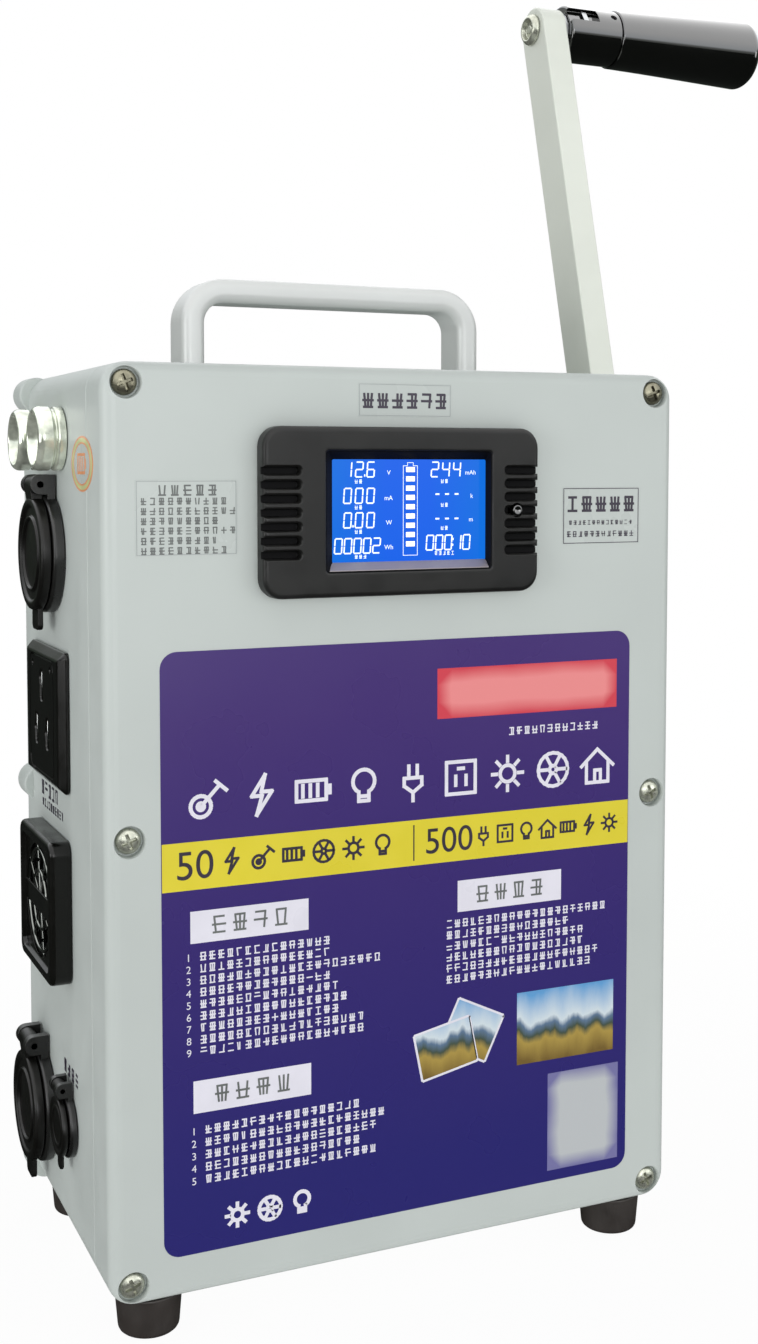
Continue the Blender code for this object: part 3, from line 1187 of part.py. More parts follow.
def add_fan_rotor(spider_top):
    """Fan hub with its ring of twisted blades, on the frame's axle."""
    pivot = add_pivot("fan_axis", (LEFT_X, FAN_Y, FAN_Z), FACING_LEFT)
    base = spider_top + FIT_GAP
    top = spider_top + FAN_HUB_DEPTH
    bore = FAN_AXLE_RADIUS + FIT_GAP
    bore_end = top - FAN_BLADE_THICKNESS + FIT_GAP
    hub = turned([(0.0, bore_end), (bore, bore_end), (bore, base), (FAN_HUB_RADIUS, base),
                  (FAN_HUB_RADIUS, top), (0.0, top)], ROUND_STEPS)
    rotor = add_object("fan_rotor", hub, "moulded_black", parent=pivot)
    for index in range(FAN_BLADE_COUNT):
        around = Matrix.Rotation(math.tau * index / FAN_BLADE_COUNT, 4, "Z")
        join(rotor, blade_mesh((base + top) / 2), turn=around, parent=pivot)
    return rotor


# Crank and grip

def add_crank_pivot():
    """Pivot on the crank's axis: its X runs up the arm, and its Z runs out to the right."""
    lean = Matrix.Rotation(-CRANK_LEAN, 4, "X")
    along_arm = lean @ FACING_RIGHT @ Matrix.Rotation(math.pi, 4, "Z")
    return add_pivot("crank_axis", (0.0, 0.0, CRANK_Z), along_arm)


def add_crank_shaft(pivot):
    """Steel shaft with a collar, from the drive gear out to the hub of the arm."""
    flange_face = RIGHT_X + FIT_GAP + BEARING_FLANGE_THICKNESS
    collar = (flange_face + FIT_GAP, ARM_INNER_X - FIT_GAP)
    end = ARM_OUTER_X - FIT_GAP
    hole = HUB_SCREW_DIAMETER / 2 + FIT_GAP
    hole_floor = end - HUB_SCREW_BITE - OVERRUN
    profile = [(0.0, SHAFT_INNER_X), (SHAFT_RADIUS, SHAFT_INNER_X), (SHAFT_RADIUS, collar[0]),
               (SHAFT_COLLAR_RADIUS, collar[0]), (SHAFT_COLLAR_RADIUS, collar[1]),
               (SHAFT_END_RADIUS, collar[1]), (SHAFT_END_RADIUS, end), (hole, end),
               (hole, hole_floor), (0.0, hole_floor)]
    add_object("crank_shaft", turned(profile, ROUND_STEPS), "steel", parent=pivot)
    head = screw_mesh(HUB_SCREW_HEAD_DIAMETER, HUB_SCREW_HEAD_HEIGHT, HUB_SCREW_DIAMETER,
                      HUB_SCREW_BITE, ROUND_STEPS)
    add_object("hub_screw", head, "zinc_screw", (0.0, 0.0, ARM_OUTER_X + FIT_GAP), parent=pivot)


def add_crank_arm(pivot):
    """Flat aluminium arm with round ends, on the shaft's end."""
    outline = [(x + ARM_LENGTH / 2, y) for x, y in stadium(ARM_LENGTH + ARM_WIDTH, ARM_WIDTH, 8)]
    bar = prism(outline, ARM_INNER_X, ARM_OUTER_X)
    soften_rim(bar, ARM_INNER_X, ARM_EDGE_BEVEL)
    soften_rim(bar, ARM_OUTER_X, ARM_EDGE_BEVEL)
    arm = add_object("crank_arm", bar, "arm_aluminium", parent=pivot)
    through = (ARM_INNER_X - OVERRUN, ARM_OUTER_X + OVERRUN)
    cut(arm, prism(circle(SHAFT_END_RADIUS + FIT_GAP, ROUND_STEPS), *through), parent=pivot)
    cut(arm, prism(circle(ARM_BOLT_DIAMETER / 2 + FIT_GAP, HOLE_STEPS, ARM_LENGTH), *through), parent=pivot)
    bolt = screw_mesh(ARM_BOLT_HEAD_DIAMETER, ARM_BOLT_HEAD_HEIGHT, ARM_BOLT_DIAMETER,
                      ARM_THICKNESS + ARM_BOLT_BITE, ROUND_STEPS)
    add_object("arm_bolt", bolt, "zinc_screw", (ARM_LENGTH, 0.0, ARM_INNER_X - FIT_GAP), FACING_DOWN,
               pivot)


def add_grip_axle(pivot):
    """Steel axle that the grip turns on, with a flange at the arm and a groove for the key."""
    start = FIT_GAP
    flange_end = start + GRIP_AXLE_FLANGE_LENGTH
    hole = ARM_BOLT_DIAMETER / 2 + FIT_GAP
    groove = GRIP_AXLE_RADIUS - GRIP_KEY_BITE
    key_start = GRIP_KEY_PLACE - GRIP_KEY_THICKNESS / 2 - FIT_GAP
    key_end = GRIP_KEY_PLACE + GRIP_KEY_THICKNESS / 2 + FIT_GAP
    hole_floor = ARM_BOLT_BITE + OVERRUN
    profile = [(0.0, hole_floor), (hole, hole_floor), (hole, start),
               (GRIP_AXLE_FLANGE_RADIUS, start), (GRIP_AXLE_FLANGE_RADIUS, flange_end),
               (GRIP_AXLE_RADIUS, flange_end), (GRIP_AXLE_RADIUS, key_start), (groove, key_start),
               (groove, key_end), (GRIP_AXLE_RADIUS, key_end), (GRIP_AXLE_RADIUS, GRIP_AXLE_LENGTH),
               (0.0, GRIP_AXLE_LENGTH)]
    add_object("grip_axle", turned(profile, ROUND_STEPS), "steel", (ARM_LENGTH, 0.0, ARM_OUTER_X),
               parent=pivot)


def add_grip(pivot):
    """Revolving grip: a collar with a key window, a flared sleeve and the key that holds them."""
    notch_turn = math.pi / 2 + CRANK_LEAN - GRIP_NOTCH_RISE
    axis = add_pivot("grip_axis", (ARM_LENGTH, 0.0, ARM_OUTER_X),
                     Matrix.Rotation(notch_turn, 4, "Z"), pivot)
    bore = GRIP_AXLE_RADIUS + FIT_GAP
    start = GRIP_AXLE_FLANGE_LENGTH + 2 * FIT_GAP
    seam = start + GRIP_COLLAR_LENGTH
    spigot_end = seam + GRIP_SPIGOT_LENGTH
    add_grip_collar(axis, bore, start, seam, spigot_end)
    add_grip_sleeve(axis, bore, start, seam, spigot_end)
    add_grip_key(axis)


def add_grip_collar(axis, bore, start, seam, spigot_end):
    """Collar at the arm end, with the key's window and a round dimple on one side."""
    edge = GRIP_COLLAR_RADIUS - GRIP_SPIGOT_RADIUS
    profile = [(bore, start), (GRIP_COLLAR_RADIUS - edge / 4, start),
               (GRIP_COLLAR_RADIUS, start + edge / 4), (GRIP_COLLAR_RADIUS, seam),
               (GRIP_SPIGOT_RADIUS, seam), (GRIP_SPIGOT_RADIUS, spigot_end), (bore, spigot_end)]
    collar = add_object("grip_collar", turned(profile, LARGE_STEPS), "grip_black", parent=axis)
    window = box(GRIP_COLLAR_RADIUS, GRIP_NOTCH_WIDTH, GRIP_NOTCH_LENGTH + OVERRUN,
                 (GRIP_NOTCH_FLOOR + GRIP_COLLAR_RADIUS / 2, 0.0,
                  start + (GRIP_NOTCH_LENGTH - OVERRUN) / 2))
    cut(collar, window, parent=axis)
    key_hole = box(GRIP_COLLAR_RADIUS, GRIP_KEY_WIDTH + 2 * FIT_GAP, GRIP_KEY_THICKNESS + 2 * FIT_GAP,
                   (GRIP_COLLAR_RADIUS / 2, 0.0, GRIP_KEY_PLACE))
    cut(collar, key_hole, parent=axis)
    dimple = prism(circle(GRIP_DIMPLE_RADIUS, HOLE_STEPS), GRIP_COLLAR_RADIUS - GRIP_DIMPLE_DEPTH,
                   GRIP_COLLAR_RADIUS + OVERRUN)
    cut(collar, dimple, (0.0, 0.0, start + GRIP_DIMPLE_PLACE), FACING_RIGHT, axis)


def add_grip_sleeve(axis, bore, start, seam, spigot_end):
    """Hand sleeve that swells to its outer end and closes with a chamfered tail."""
    tail = start + GRIP_LENGTH
    swell = tail - GRIP_TAIL_LENGTH
    bore_end = GRIP_AXLE_LENGTH + FIT_GAP
    socket = GRIP_SPIGOT_RADIUS + FIT_GAP
    profile = [(0.0, bore_end), (bore, bore_end), (bore, spigot_end + FIT_GAP),
               (socket, spigot_end + FIT_GAP), (socket, seam + FIT_GAP),
               (GRIP_START_RADIUS, seam + FIT_GAP), (GRIP_END_RADIUS, swell), (GRIP_TAIL_RADIUS, tail),
               (0.0, tail)]
    add_object("grip_sleeve", turned(profile, LARGE_STEPS), "grip_black", parent=axis)


def add_grip_key(axis):
    """Flat steel key that drops through the window into the axle's groove."""
    inner = GRIP_AXLE_RADIUS - GRIP_KEY_BITE + FIT_GAP
    outer = GRIP_NOTCH_FLOOR + GRIP_KEY_STAND
    block = box(outer, GRIP_KEY_WIDTH, GRIP_KEY_THICKNESS, (outer / 2, 0.0, GRIP_KEY_PLACE))
    key = add_object("grip_key", block, "steel", parent=axis)
    cut(key, prism(circle(inner, ROUND_STEPS), 0.0, 2 * GRIP_KEY_PLACE), parent=axis)


# Gear train

def tooth_flank(pitch_radius, tip_radius, root_radius, half_tooth):
    """Right flank of a tooth about the X axis: root, then an involute up to the tip."""
    base_radius = pitch_radius * math.cos(PRESSURE_ANGLE)
    low = max(base_radius, root_radius)
    pitch_spread = math.tan(PRESSURE_ANGLE) - PRESSURE_ANGLE
    points = []
    for step in range(FLANK_POINTS):
        radius = low + (tip_radius - low) * step / (FLANK_POINTS - 1)
        pressure = math.acos(base_radius / radius)
        spread = math.tan(pressure) - pressure
        points.append((radius, -half_tooth - pitch_spread + spread))
    if root_radius < low:
        points.insert(0, (root_radius, points[0][1]))
    return points


def gear_outline(teeth, addendum_share, first_turn):
    """Outline of a spur gear, with a whole number of involute teeth and a little backlash."""
    pitch_radius = GEAR_MODULE * teeth / 2
    tip_radius = pitch_radius + addendum_share * GEAR_MODULE
    root_radius = pitch_radius - DEDENDUM_SHARE * GEAR_MODULE
    half_tooth = (math.pi * GEAR_MODULE / 2 - TOOTH_BACKLASH / 2) / 2 / pitch_radius
    flank = tooth_flank(pitch_radius, tip_radius, root_radius, half_tooth)
    polar = flank + [(radius, -turn) for radius, turn in reversed(flank)]
    points = []
    for tooth in range(teeth):
        middle = first_turn + math.tau * tooth / teeth
        points += [(radius * math.cos(middle + turn), radius * math.sin(middle + turn))
                   for radius, turn in polar]
    return points


def add_drive_gear(pivot):
    """Wheel on the crank shaft, with a tooth that points down at the idler."""
    outline = gear_outline(DRIVE_TEETH, WHEEL_ADDENDUM_SHARE, math.pi + CRANK_LEAN)
    gear = add_object("drive_gear", prism(outline, DRIVE_GEAR_X, DRIVE_GEAR_X + GEAR_WIDTH),
                      "gear_nylon", parent=pivot)
    cut(gear, prism(circle(SHAFT_RADIUS + FIT_GAP, ROUND_STEPS), DRIVE_GEAR_X - OVERRUN,
                    DRIVE_GEAR_X + GEAR_WIDTH + OVERRUN), parent=pivot)


def add_idler_gear():
    """Double gear below the crank shaft: a pinion driven by it and a wheel that drives the rotor."""
    pivot = add_pivot("idler_axis", (0.0, 0.0, IDLER_Z), FACING_RIGHT)
    wheel = gear_outline(IDLER_TEETH, WHEEL_ADDENDUM_SHARE, math.pi)
    pinion = gear_outline(IDLER_PINION_TEETH, PINION_ADDENDUM_SHARE,
                          math.pi + math.pi / IDLER_PINION_TEETH)
    pinion_end = OUTER_PLATE_X - GEAR_SIDE_GAP
    gear = add_object("idler_gear", prism(wheel, IDLER_WHEEL_X, IDLER_WHEEL_X + GEAR_WIDTH),
                      "gear_nylon", parent=pivot)
    join(gear, prism(circle(IDLER_HUB_RADIUS, ROUND_STEPS), INNER_PLATE_X + GEAR_SIDE_GAP,
                     pinion_end - PINION_WIDTH / 2), parent=pivot)
    join(gear, prism(pinion, pinion_end - PINION_WIDTH, pinion_end), parent=pivot)
    cut(gear, prism(circle(IDLER_AXLE_RADIUS + FIT_GAP, ROUND_STEPS), INNER_PLATE_X, OUTER_PLATE_X),
        parent=pivot)


def plate_mesh(inner_x):
    """Upright gearbox plate whose inner face lies at an X."""
    height = PLATE_TOP_Z - PLATE_BOTTOM_Z
    return prism(rounded_rectangle(height, PLATE_WIDTH, PLATE_CORNER_RADIUS, 2), inner_x,
                 inner_x + PLATE_THICKNESS)


def add_gearbox_plates():
    """Two plates that hold the train: the outer one carries four posts and the idler's axle."""
    place = (0.0, 0.0, (PLATE_TOP_Z + PLATE_BOTTOM_Z) / 2)
    outer = add_object("gearbox_outer_plate", plate_mesh(OUTER_PLATE_X), "steel", place, FACING_RIGHT)
    inner = add_object("gearbox_inner_plate", plate_mesh(INNER_PLATE_X - PLATE_THICKNESS), "steel",
                       place, FACING_RIGHT)
    middle = OUTER_PLATE_X + PLATE_THICKNESS / 2
    for side_y in (-1, 1):
        for z in (PLATE_BOTTOM_Z + PLATE_POST_INSET, PLATE_TOP_Z - PLATE_POST_INSET):
            post = prism(circle(PLATE_POST_RADIUS, SCREW_STEPS), INNER_PLATE_X + FIT_GAP, middle)
            join(outer, post, (0.0, side_y * (PLATE_WIDTH / 2 - PLATE_POST_INSET), z), FACING_RIGHT)
    axle = prism(circle(IDLER_AXLE_RADIUS, ROUND_STEPS), INNER_PLATE_X - PLATE_THICKNESS, middle)
    join(outer, axle, (0.0, 0.0, IDLER_Z), FACING_RIGHT)
    beyond = (INNER_PLATE_X - PLATE_THICKNESS - OVERRUN, INNER_PLATE_X + OVERRUN)
    cut(inner, prism(circle(IDLER_AXLE_RADIUS + FIT_GAP, ROUND_STEPS), *beyond), (0.0, 0.0, IDLER_Z),
        FACING_RIGHT)
    cut(inner, prism(circle(GENERATOR_NOSE_RADIUS + FIT_GAP, ROUND_STEPS), *beyond), (0.0, 0.0, CRANK_Z),
        FACING_RIGHT)
    cut(outer, prism(circle(BEARING_BARREL_RADIUS + FIT_GAP, LARGE_STEPS), OUTER_PLATE_X - OVERRUN,
                     OUTER_PLATE_X + PLATE_THICKNESS + OVERRUN), (0.0, 0.0, CRANK_Z), FACING_RIGHT)


def add_bearing_flange():
    """Plain bearing of the crank shaft, with its flange on the outside of the right wall."""
    bore = SHAFT_RADIUS + FIT_GAP
    face = RIGHT_X + FIT_GAP
    outer = face + BEARING_FLANGE_THICKNESS
    edge = BEARING_FLANGE_THICKNESS / 4
    profile = [(bore, OUTER_PLATE_X), (BEARING_BARREL_RADIUS, OUTER_PLATE_X),
               (BEARING_BARREL_RADIUS, face), (BEARING_FLANGE_RADIUS, face),
               (BEARING_FLANGE_RADIUS, outer - edge), (BEARING_FLANGE_RADIUS - edge, outer),
               (bore, outer)]
    add_object("bearing_flange", turned(profile, LARGE_STEPS), "moulded_black", (0.0, 0.0, CRANK_Z),
               FACING_RIGHT)


# Generator

def add_generator():
    """Round generator on the inner plate, and its rotor with the last pinion of the train."""
    front = INNER_PLATE_X - PLATE_THICKNESS - FIT_GAP
    rear = front - GENERATOR_LENGTH
    bore = ROTOR_SHAFT_RADIUS + FIT_GAP
    nose = INNER_PLATE_X - FIT_GAP
    inner_radius = GENERATOR_RADIUS - GENERATOR_WALL
    profile = [(bore, rear), (GENERATOR_RADIUS, rear), (GENERATOR_RADIUS, front),
               (GENERATOR_NOSE_RADIUS, front), (GENERATOR_NOSE_RADIUS, nose), (bore, nose),
               (bore, front - GENERATOR_WALL), (inner_radius, front - GENERATOR_WALL),
               (inner_radius, rear + GENERATOR_WALL), (bore, rear + GENERATOR_WALL)]
    add_object("generator_housing", turned(profile, LARGE_STEPS), "steel", (0.0, 0.0, CRANK_Z), FACING_RIGHT)
    pivot = add_pivot("rotor_axis", (0.0, 0.0, CRANK_Z), FACING_RIGHT)
    drum = (rear + GENERATOR_WALL + ROTOR_END_CLEARANCE, front - GENERATOR_WALL - ROTOR_END_CLEARANCE)
    pinion_start = IDLER_WHEEL_X - (PINION_WIDTH - GEAR_WIDTH) / 2
    shaft = [(0.0, rear), (ROTOR_SHAFT_RADIUS, rear), (ROTOR_SHAFT_RADIUS, drum[0]),
             (ROTOR_RADIUS, drum[0]), (ROTOR_RADIUS, drum[1]), (ROTOR_SHAFT_RADIUS, drum[1]),
             (ROTOR_SHAFT_RADIUS, pinion_start + PINION_WIDTH / 2),
             (0.0, pinion_start + PINION_WIDTH / 2)]
    rotor = add_object("generator_rotor", turned(shaft, ROUND_STEPS), "steel", parent=pivot)
    pinion = gear_outline(ROTOR_PINION_TEETH, PINION_ADDENDUM_SHARE,
                          math.pi / ROTOR_PINION_TEETH)
    join(rotor, prism(pinion, pinion_start, pinion_start + PINION_WIDTH), parent=pivot)


# Power pack and inverter

def add_battery_pack():
    """Battery pack that stands on the floor of the case."""
    floor = CASE_WALL + FIT_GAP
    outline = rounded_rectangle(PACK_WIDTH, PACK_DEPTH, PACK_CORNER_RADIUS, 2)
    add_object("battery_pack", prism(outline, floor, floor + PACK_HEIGHT), "pack_blue",
               (PACK_X, PACK_Y, 0.0))


def add_inverter_board():
    """Inverter board on four posts above the pack, with its transformer and a finned heat sink."""
    pack_top = CASE_WALL + 2 * FIT_GAP + PACK_HEIGHT
    top = BOARD_Z + BOARD_THICKNESS
    board = add_object("inverter_board", box(BOARD_WIDTH, BOARD_DEPTH, BOARD_THICKNESS,
                                             (0.0, 0.0, BOARD_Z + BOARD_THICKNESS / 2)),
                       "circuit_green", (BOARD_X, PACK_Y, 0.0))
    post = circle(BOARD_POST_RADIUS, HOLE_STEPS)
    for side_x in (-1, 1):
        for side_y in (-1, 1):
            x = BOARD_X + side_x * (BOARD_WIDTH / 2 - 2 * BOARD_POST_RADIUS)
            y = PACK_Y + side_y * (PACK_DEPTH / 2 - 2 * BOARD_POST_RADIUS)
            join(board, prism(post, pack_top, BOARD_Z + BOARD_THICKNESS / 2), (x, y, 0.0))
    sunk = BOARD_THICKNESS / 2
    join(board, box(TRANSFORMER_WIDTH, TRANSFORMER_DEPTH, TRANSFORMER_HEIGHT + sunk,
                    (0.0, 0.0, top + (TRANSFORMER_HEIGHT - sunk) / 2)),
         (BOARD_X + TRANSFORMER_X_SHARE * BOARD_WIDTH, PACK_Y, 0.0))
    sink_x = BOARD_X + HEAT_SINK_X_SHARE * BOARD_WIDTH
    join(board, box(HEAT_SINK_WIDTH, HEAT_SINK_DEPTH, HEAT_SINK_HEIGHT + sunk,
                    (0.0, 0.0, top + (HEAT_SINK_HEIGHT - sunk) / 2)), (sink_x, PACK_Y, 0.0))
    slot = box(HEAT_SINK_SLOT_WIDTH, HEAT_SINK_DEPTH + OVERRUN, HEAT_SINK_HEIGHT,
               (0.0, 0.0, top + HEAT_SINK_BASE + HEAT_SINK_HEIGHT / 2))
    slots = cut(board, slot, (sink_x, PACK_Y, 0.0))
    repeat_tool(slots, HEAT_SINK_FIN_COUNT - 1, (HEAT_SINK_WIDTH / HEAT_SINK_FIN_COUNT, 0.0, 0.0))


def main():
    """Clear the scene and model every piece of the generator."""
    for item in list(bpy.data.objects):
        bpy.data.objects.remove(item)
    add_housing_body()
    add_front_lid()
    add_lid_gasket()
    add_lid_screws()
    add_feet()
    add_carry_handle()
    add_meter_bezel()
    add_meter_inside()
    add_lamps()
    add_power_socket()
    add_usb_socket()
    add_jack_socket()
    add_mains_outlet()
    add_fan_guard()
    add_fan_rotor(add_fan_frame())
    crank = add_crank_pivot()
    add_crank_shaft(crank)
    add_crank_arm(crank)
    add_grip_axle(crank)
    add_grip(crank)
    add_drive_gear(crank)
    add_idler_gear()
    add_gearbox_plates()
    add_bearing_flange()
    add_generator()
    add_battery_pack()
    add_inverter_board()


main()
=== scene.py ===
"""Looks of a hand crank generator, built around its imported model.

Metres, +Z up. The lid with the meter faces -Y, the sockets sit on the -X wall and the crank on the +X
wall. Every piece is a surface worked out over rows of points, and stands where the model has it.
"""
import math

import bmesh
import bpy
import numpy as np
from bpy.props import FloatProperty, FloatVectorProperty, IntProperty, PointerProperty
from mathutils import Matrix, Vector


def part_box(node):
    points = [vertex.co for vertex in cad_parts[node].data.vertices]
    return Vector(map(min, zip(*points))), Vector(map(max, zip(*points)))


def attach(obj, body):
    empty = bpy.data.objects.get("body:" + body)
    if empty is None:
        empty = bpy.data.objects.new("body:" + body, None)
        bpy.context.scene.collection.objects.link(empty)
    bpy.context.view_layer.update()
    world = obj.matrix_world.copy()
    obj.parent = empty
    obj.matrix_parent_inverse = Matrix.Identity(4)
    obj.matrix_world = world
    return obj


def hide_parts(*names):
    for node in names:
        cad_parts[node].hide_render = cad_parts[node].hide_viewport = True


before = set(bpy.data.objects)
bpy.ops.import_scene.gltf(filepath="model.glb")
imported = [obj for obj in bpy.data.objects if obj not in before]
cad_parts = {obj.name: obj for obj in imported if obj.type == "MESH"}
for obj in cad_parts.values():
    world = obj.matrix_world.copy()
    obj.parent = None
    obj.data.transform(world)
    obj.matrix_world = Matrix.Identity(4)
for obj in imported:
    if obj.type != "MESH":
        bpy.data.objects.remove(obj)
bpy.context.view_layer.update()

bl_info = {
    "name": "Hand crank generator",
    "version": (1, 0, 0),
    "blender": (4, 5, 0),
    "location": "3D View > Sidebar > Generator",
    "description": "Builds the case, meter, sockets, lamps and crank of a hand crank generator",
    "category": "Object",
}

# Where a shape's own axes point on each side of the case: to the right, up and outwards
SIDES = {
    "front": ((1, 0, 0), (0, 0, 1), (0, -1, 0)),
    "left": ((0, -1, 0), (0, 0, 1), (-1, 0, 0)),
    "right": ((0, 1, 0), (0, 0, 1), (1, 0, 0)),
    "top": ((1, 0, 0), (0, 1, 0), (0, 0, 1)),
    "bottom": ((1, 0, 0), (0, -1, 0), (0, 0, -1)),
}

LID_SCREWS = [f"lid_screw_{number}" for number in range(1, 7)]

# Patches on the lid: left, foot, width and height in metres
RED_PLATE = (0.0093, 0.1645, 0.064, 0.0155)
GREY_PATCH = (0.0488, 0.0160, 0.0262, 0.0318)

# Strokes of a seven-stroke figure, and the strokes that each figure lights
STROKES = {"a": ((0, 1), (1, 1)), "b": ((1, 1), (1, 0.5)), "c": ((1, 0.5), (1, 0)), "d": ((1, 0), (0, 0)),
           "e": ((0, 0), (0, 0.5)), "f": ((0, 0.5), (0, 1)), "g": ((0, 0.5), (1, 0.5))}
FIGURES = {"0": "abcdef", "1": "bc", "2": "abged", "4": "fgbc", "6": "afgecd", "-": "g"}


def tint(red, green, blue):
    """Linear colour of an sRGB one given as 0 to 255."""
    share = np.array([red, green, blue]) / 255
    return tuple(np.where(share <= 0.04045, share / 12.92, ((share + 0.055) / 1.055) ** 2.4).tolist())


# Sizes and colours

def length(name, default, description):
    """Setting for a length in metres."""
    return FloatProperty(name=name, description=description, default=default, unit="LENGTH")


def paint(name, default, description):
    """Setting for a colour, with its default in sRGB from 0 to 255."""
    return FloatVectorProperty(name=name, description=description, default=tint(*default), subtype="COLOR",
                               min=0, max=1)


class CaseSizes(bpy.types.PropertyGroup):
    """Sizes of the case, its screws and its handle"""
    corner: length("Corner radius", 0.008, "Radius of the case's corners, seen from the front")
    edge: length("Edge rounding", 0.0025, "Rounding of the edges of the lid and the back")
    wall: length("Wall", 0.004, "Thickness of the case's walls")
    lug: length("Lug diameter", 0.0116, "Diameter of the round lugs at the back rim")
    lug_length: length("Lug length", 0.012, "Length of the lugs at the back rim")
    counterbore: length("Counterbore", 0.009, "Diameter of the sunk seat of a lid screw")
    counterbore_depth: length("Counterbore depth", 0.003, "Depth of the sunk seat of a lid screw")
    foot_recess: length("Foot recess", 0.0096, "Diameter of the recess below a foot")
    foot_recess_depth: length("Foot recess depth", 0.006, "Depth of the recess below a foot")
    handle_bar: length("Handle thickness", 0.0075, "Thickness of the handle's bar")
    handle_bend: length("Handle bend", 0.0102, "Radius of the handle's bends at mid bar")
    handle_edge: length("Handle edge", 0.0028, "Rounding along the handle's bar")


class MeterSizes(bpy.types.PropertyGroup):
    """Sizes of the meter in the lid"""
    corner: length("Corner radius", 0.006, "Radius of the frame's corners")
    proud: length("Stand out", 0.0054, "How far the frame stands out of the lid")
    window_width: length("Window width", 0.0546, "Width of the window in front")
    window_height: length("Window height", 0.0359, "Height of the window in front")
    screen_width: length("Screen width", 0.0513, "Width of the lit screen")
    screen_height: length("Screen height", 0.0312, "Height of the lit screen")
    ribs: IntProperty(name="Grooves", description="Number of grooves at each end of the frame", default=7)
    rib_pitch: length("Groove pitch", 0.00406, "Distance between the grooves")


class SocketSizes(bpy.types.PropertyGroup):
    """Sizes of the covered sockets, the outlet and the fan guard"""
    flange: length("Flange radius", 0.0185, "Radius of a large socket's flange")
    cover: length("Cover radius", 0.0176, "Radius of a large socket's cover")
    bore: length("Bore radius", 0.0106, "Radius of the power socket's bore")
    jack_flange: length("Jack flange radius", 0.010, "Radius of the charging jack's flange")
    jack_cover: length("Jack cover radius", 0.0092, "Radius of the charging jack's cover")
    outlet_bevel: length("Outlet bevel", 0.0025, "Bevel round the mains outlet's plate")
    guard_corner: length("Guard corner", 0.004, "Corner radius of the fan guard")
    guard_rings: IntProperty(name="Guard rings", description="Rings of wire in the fan guard", default=3)


class CrankSizes(bpy.types.PropertyGroup):
    """Sizes of the crank and its grip"""
    height: length("Crank height", 0.225, "Height of the crank's axis above the underside")
    lean: FloatProperty(name="Lean", description="Turn of the arm from upright", default=math.radians(15),
                        subtype="ANGLE", unit="ROTATION")
    arm_length: length("Arm length", 0.187, "Distance from the crank's axis to the grip's")
    arm_width: length("Arm width", 0.0165, "Width of the crank's arm")
    collar: length("Collar radius", 0.01025, "Radius of the grip's collar")
    grip_start: length("Grip start radius", 0.0108, "Radius of the sleeve at the collar")
    grip_end: length("Grip end radius", 0.0131, "Largest radius of the sleeve")


class Colours(bpy.types.PropertyGroup):
    """Colours of the case, the label and the screen"""
    case: paint("Case", (196, 203, 199), "Pale grey of the case")
    black: paint("Black plastic", (26, 26, 25), "Meter frame, socket shells, bearing and fan")
    rubber: paint("Rubber", (15, 14, 12), "Socket covers")
    label_top: paint("Label top", (66, 42, 116), "Purple at the label's top")
    label_foot: paint("Label foot", (40, 36, 116), "Blue at the label's foot")
    band: paint("Band", (228, 212, 50), "Yellow band across the label")
    plate: paint("Plate", (214, 62, 78), "Red plate on the label")
    screen: paint("Screen", (30, 110, 255), "Blue of the lit screen")


# Shapes: each is a pair of points and faces, in its own axes to the right, up and outwards

def skin(rows, ring=False):
    """Quads between neighbouring rows of points.

    `ring` joins the last row to the first; otherwise a flat face closes each end.
    """
    rows = np.asarray(rows, float)
    count, sides = rows.shape[:2]
    index = np.arange(count * sides).reshape(count, sides)
    before = index if ring else index[:-1]
    after = np.roll(index, -1, 0) if ring else index[1:]
    quads = np.stack([before, np.roll(before, -1, 1), np.roll(after, -1, 1), after], -1).reshape(-1, 4)
    ends = [] if ring else [index[0, ::-1].tolist(), index[-1].tolist()]
    return rows.reshape(-1, 3), quads.tolist() + ends


def both(*shapes):
    """Several shapes as one, each one's faces counted on from the points before it."""
    starts = np.cumsum([0] + [len(points) for points, faces in shapes])
    faces = [[start + corner for corner in face] for start, shape in zip(starts, shapes) for face in shape[1]]
    return np.concatenate([points for points, faces in shapes]), faces


def put(shape, side, place=(0.0, 0.0, 0.0)):
    """Carry a shape to a side of the case: a point is the place plus its three shares of the side's axes."""
    points, faces = shape
    return points @ np.array(SIDES[side], float) + np.asarray(place, float), faces


def moved(shape, right=0.0, up=0.0, out=0.0):
    """Shift a shape in its own axes."""
    return shape[0] + np.array([right, up, out]), shape[1]


def spun(shape, angle):
    """Turn a shape about its outward axis: right = x cos a - y sin a, up = x sin a + y cos a."""
    cosine, sine = math.cos(angle), math.sin(angle)
    return shape[0] @ np.array([[cosine, sine, 0.0], [-sine, cosine, 0.0], [0.0, 0.0, 1.0]]), shape[1]


def crosswise(shape):
    """Lay a shape on its side: its right becomes up, its up outwards and its outward axis right."""
    return shape[0][:, [2, 0, 1]], shape[1]


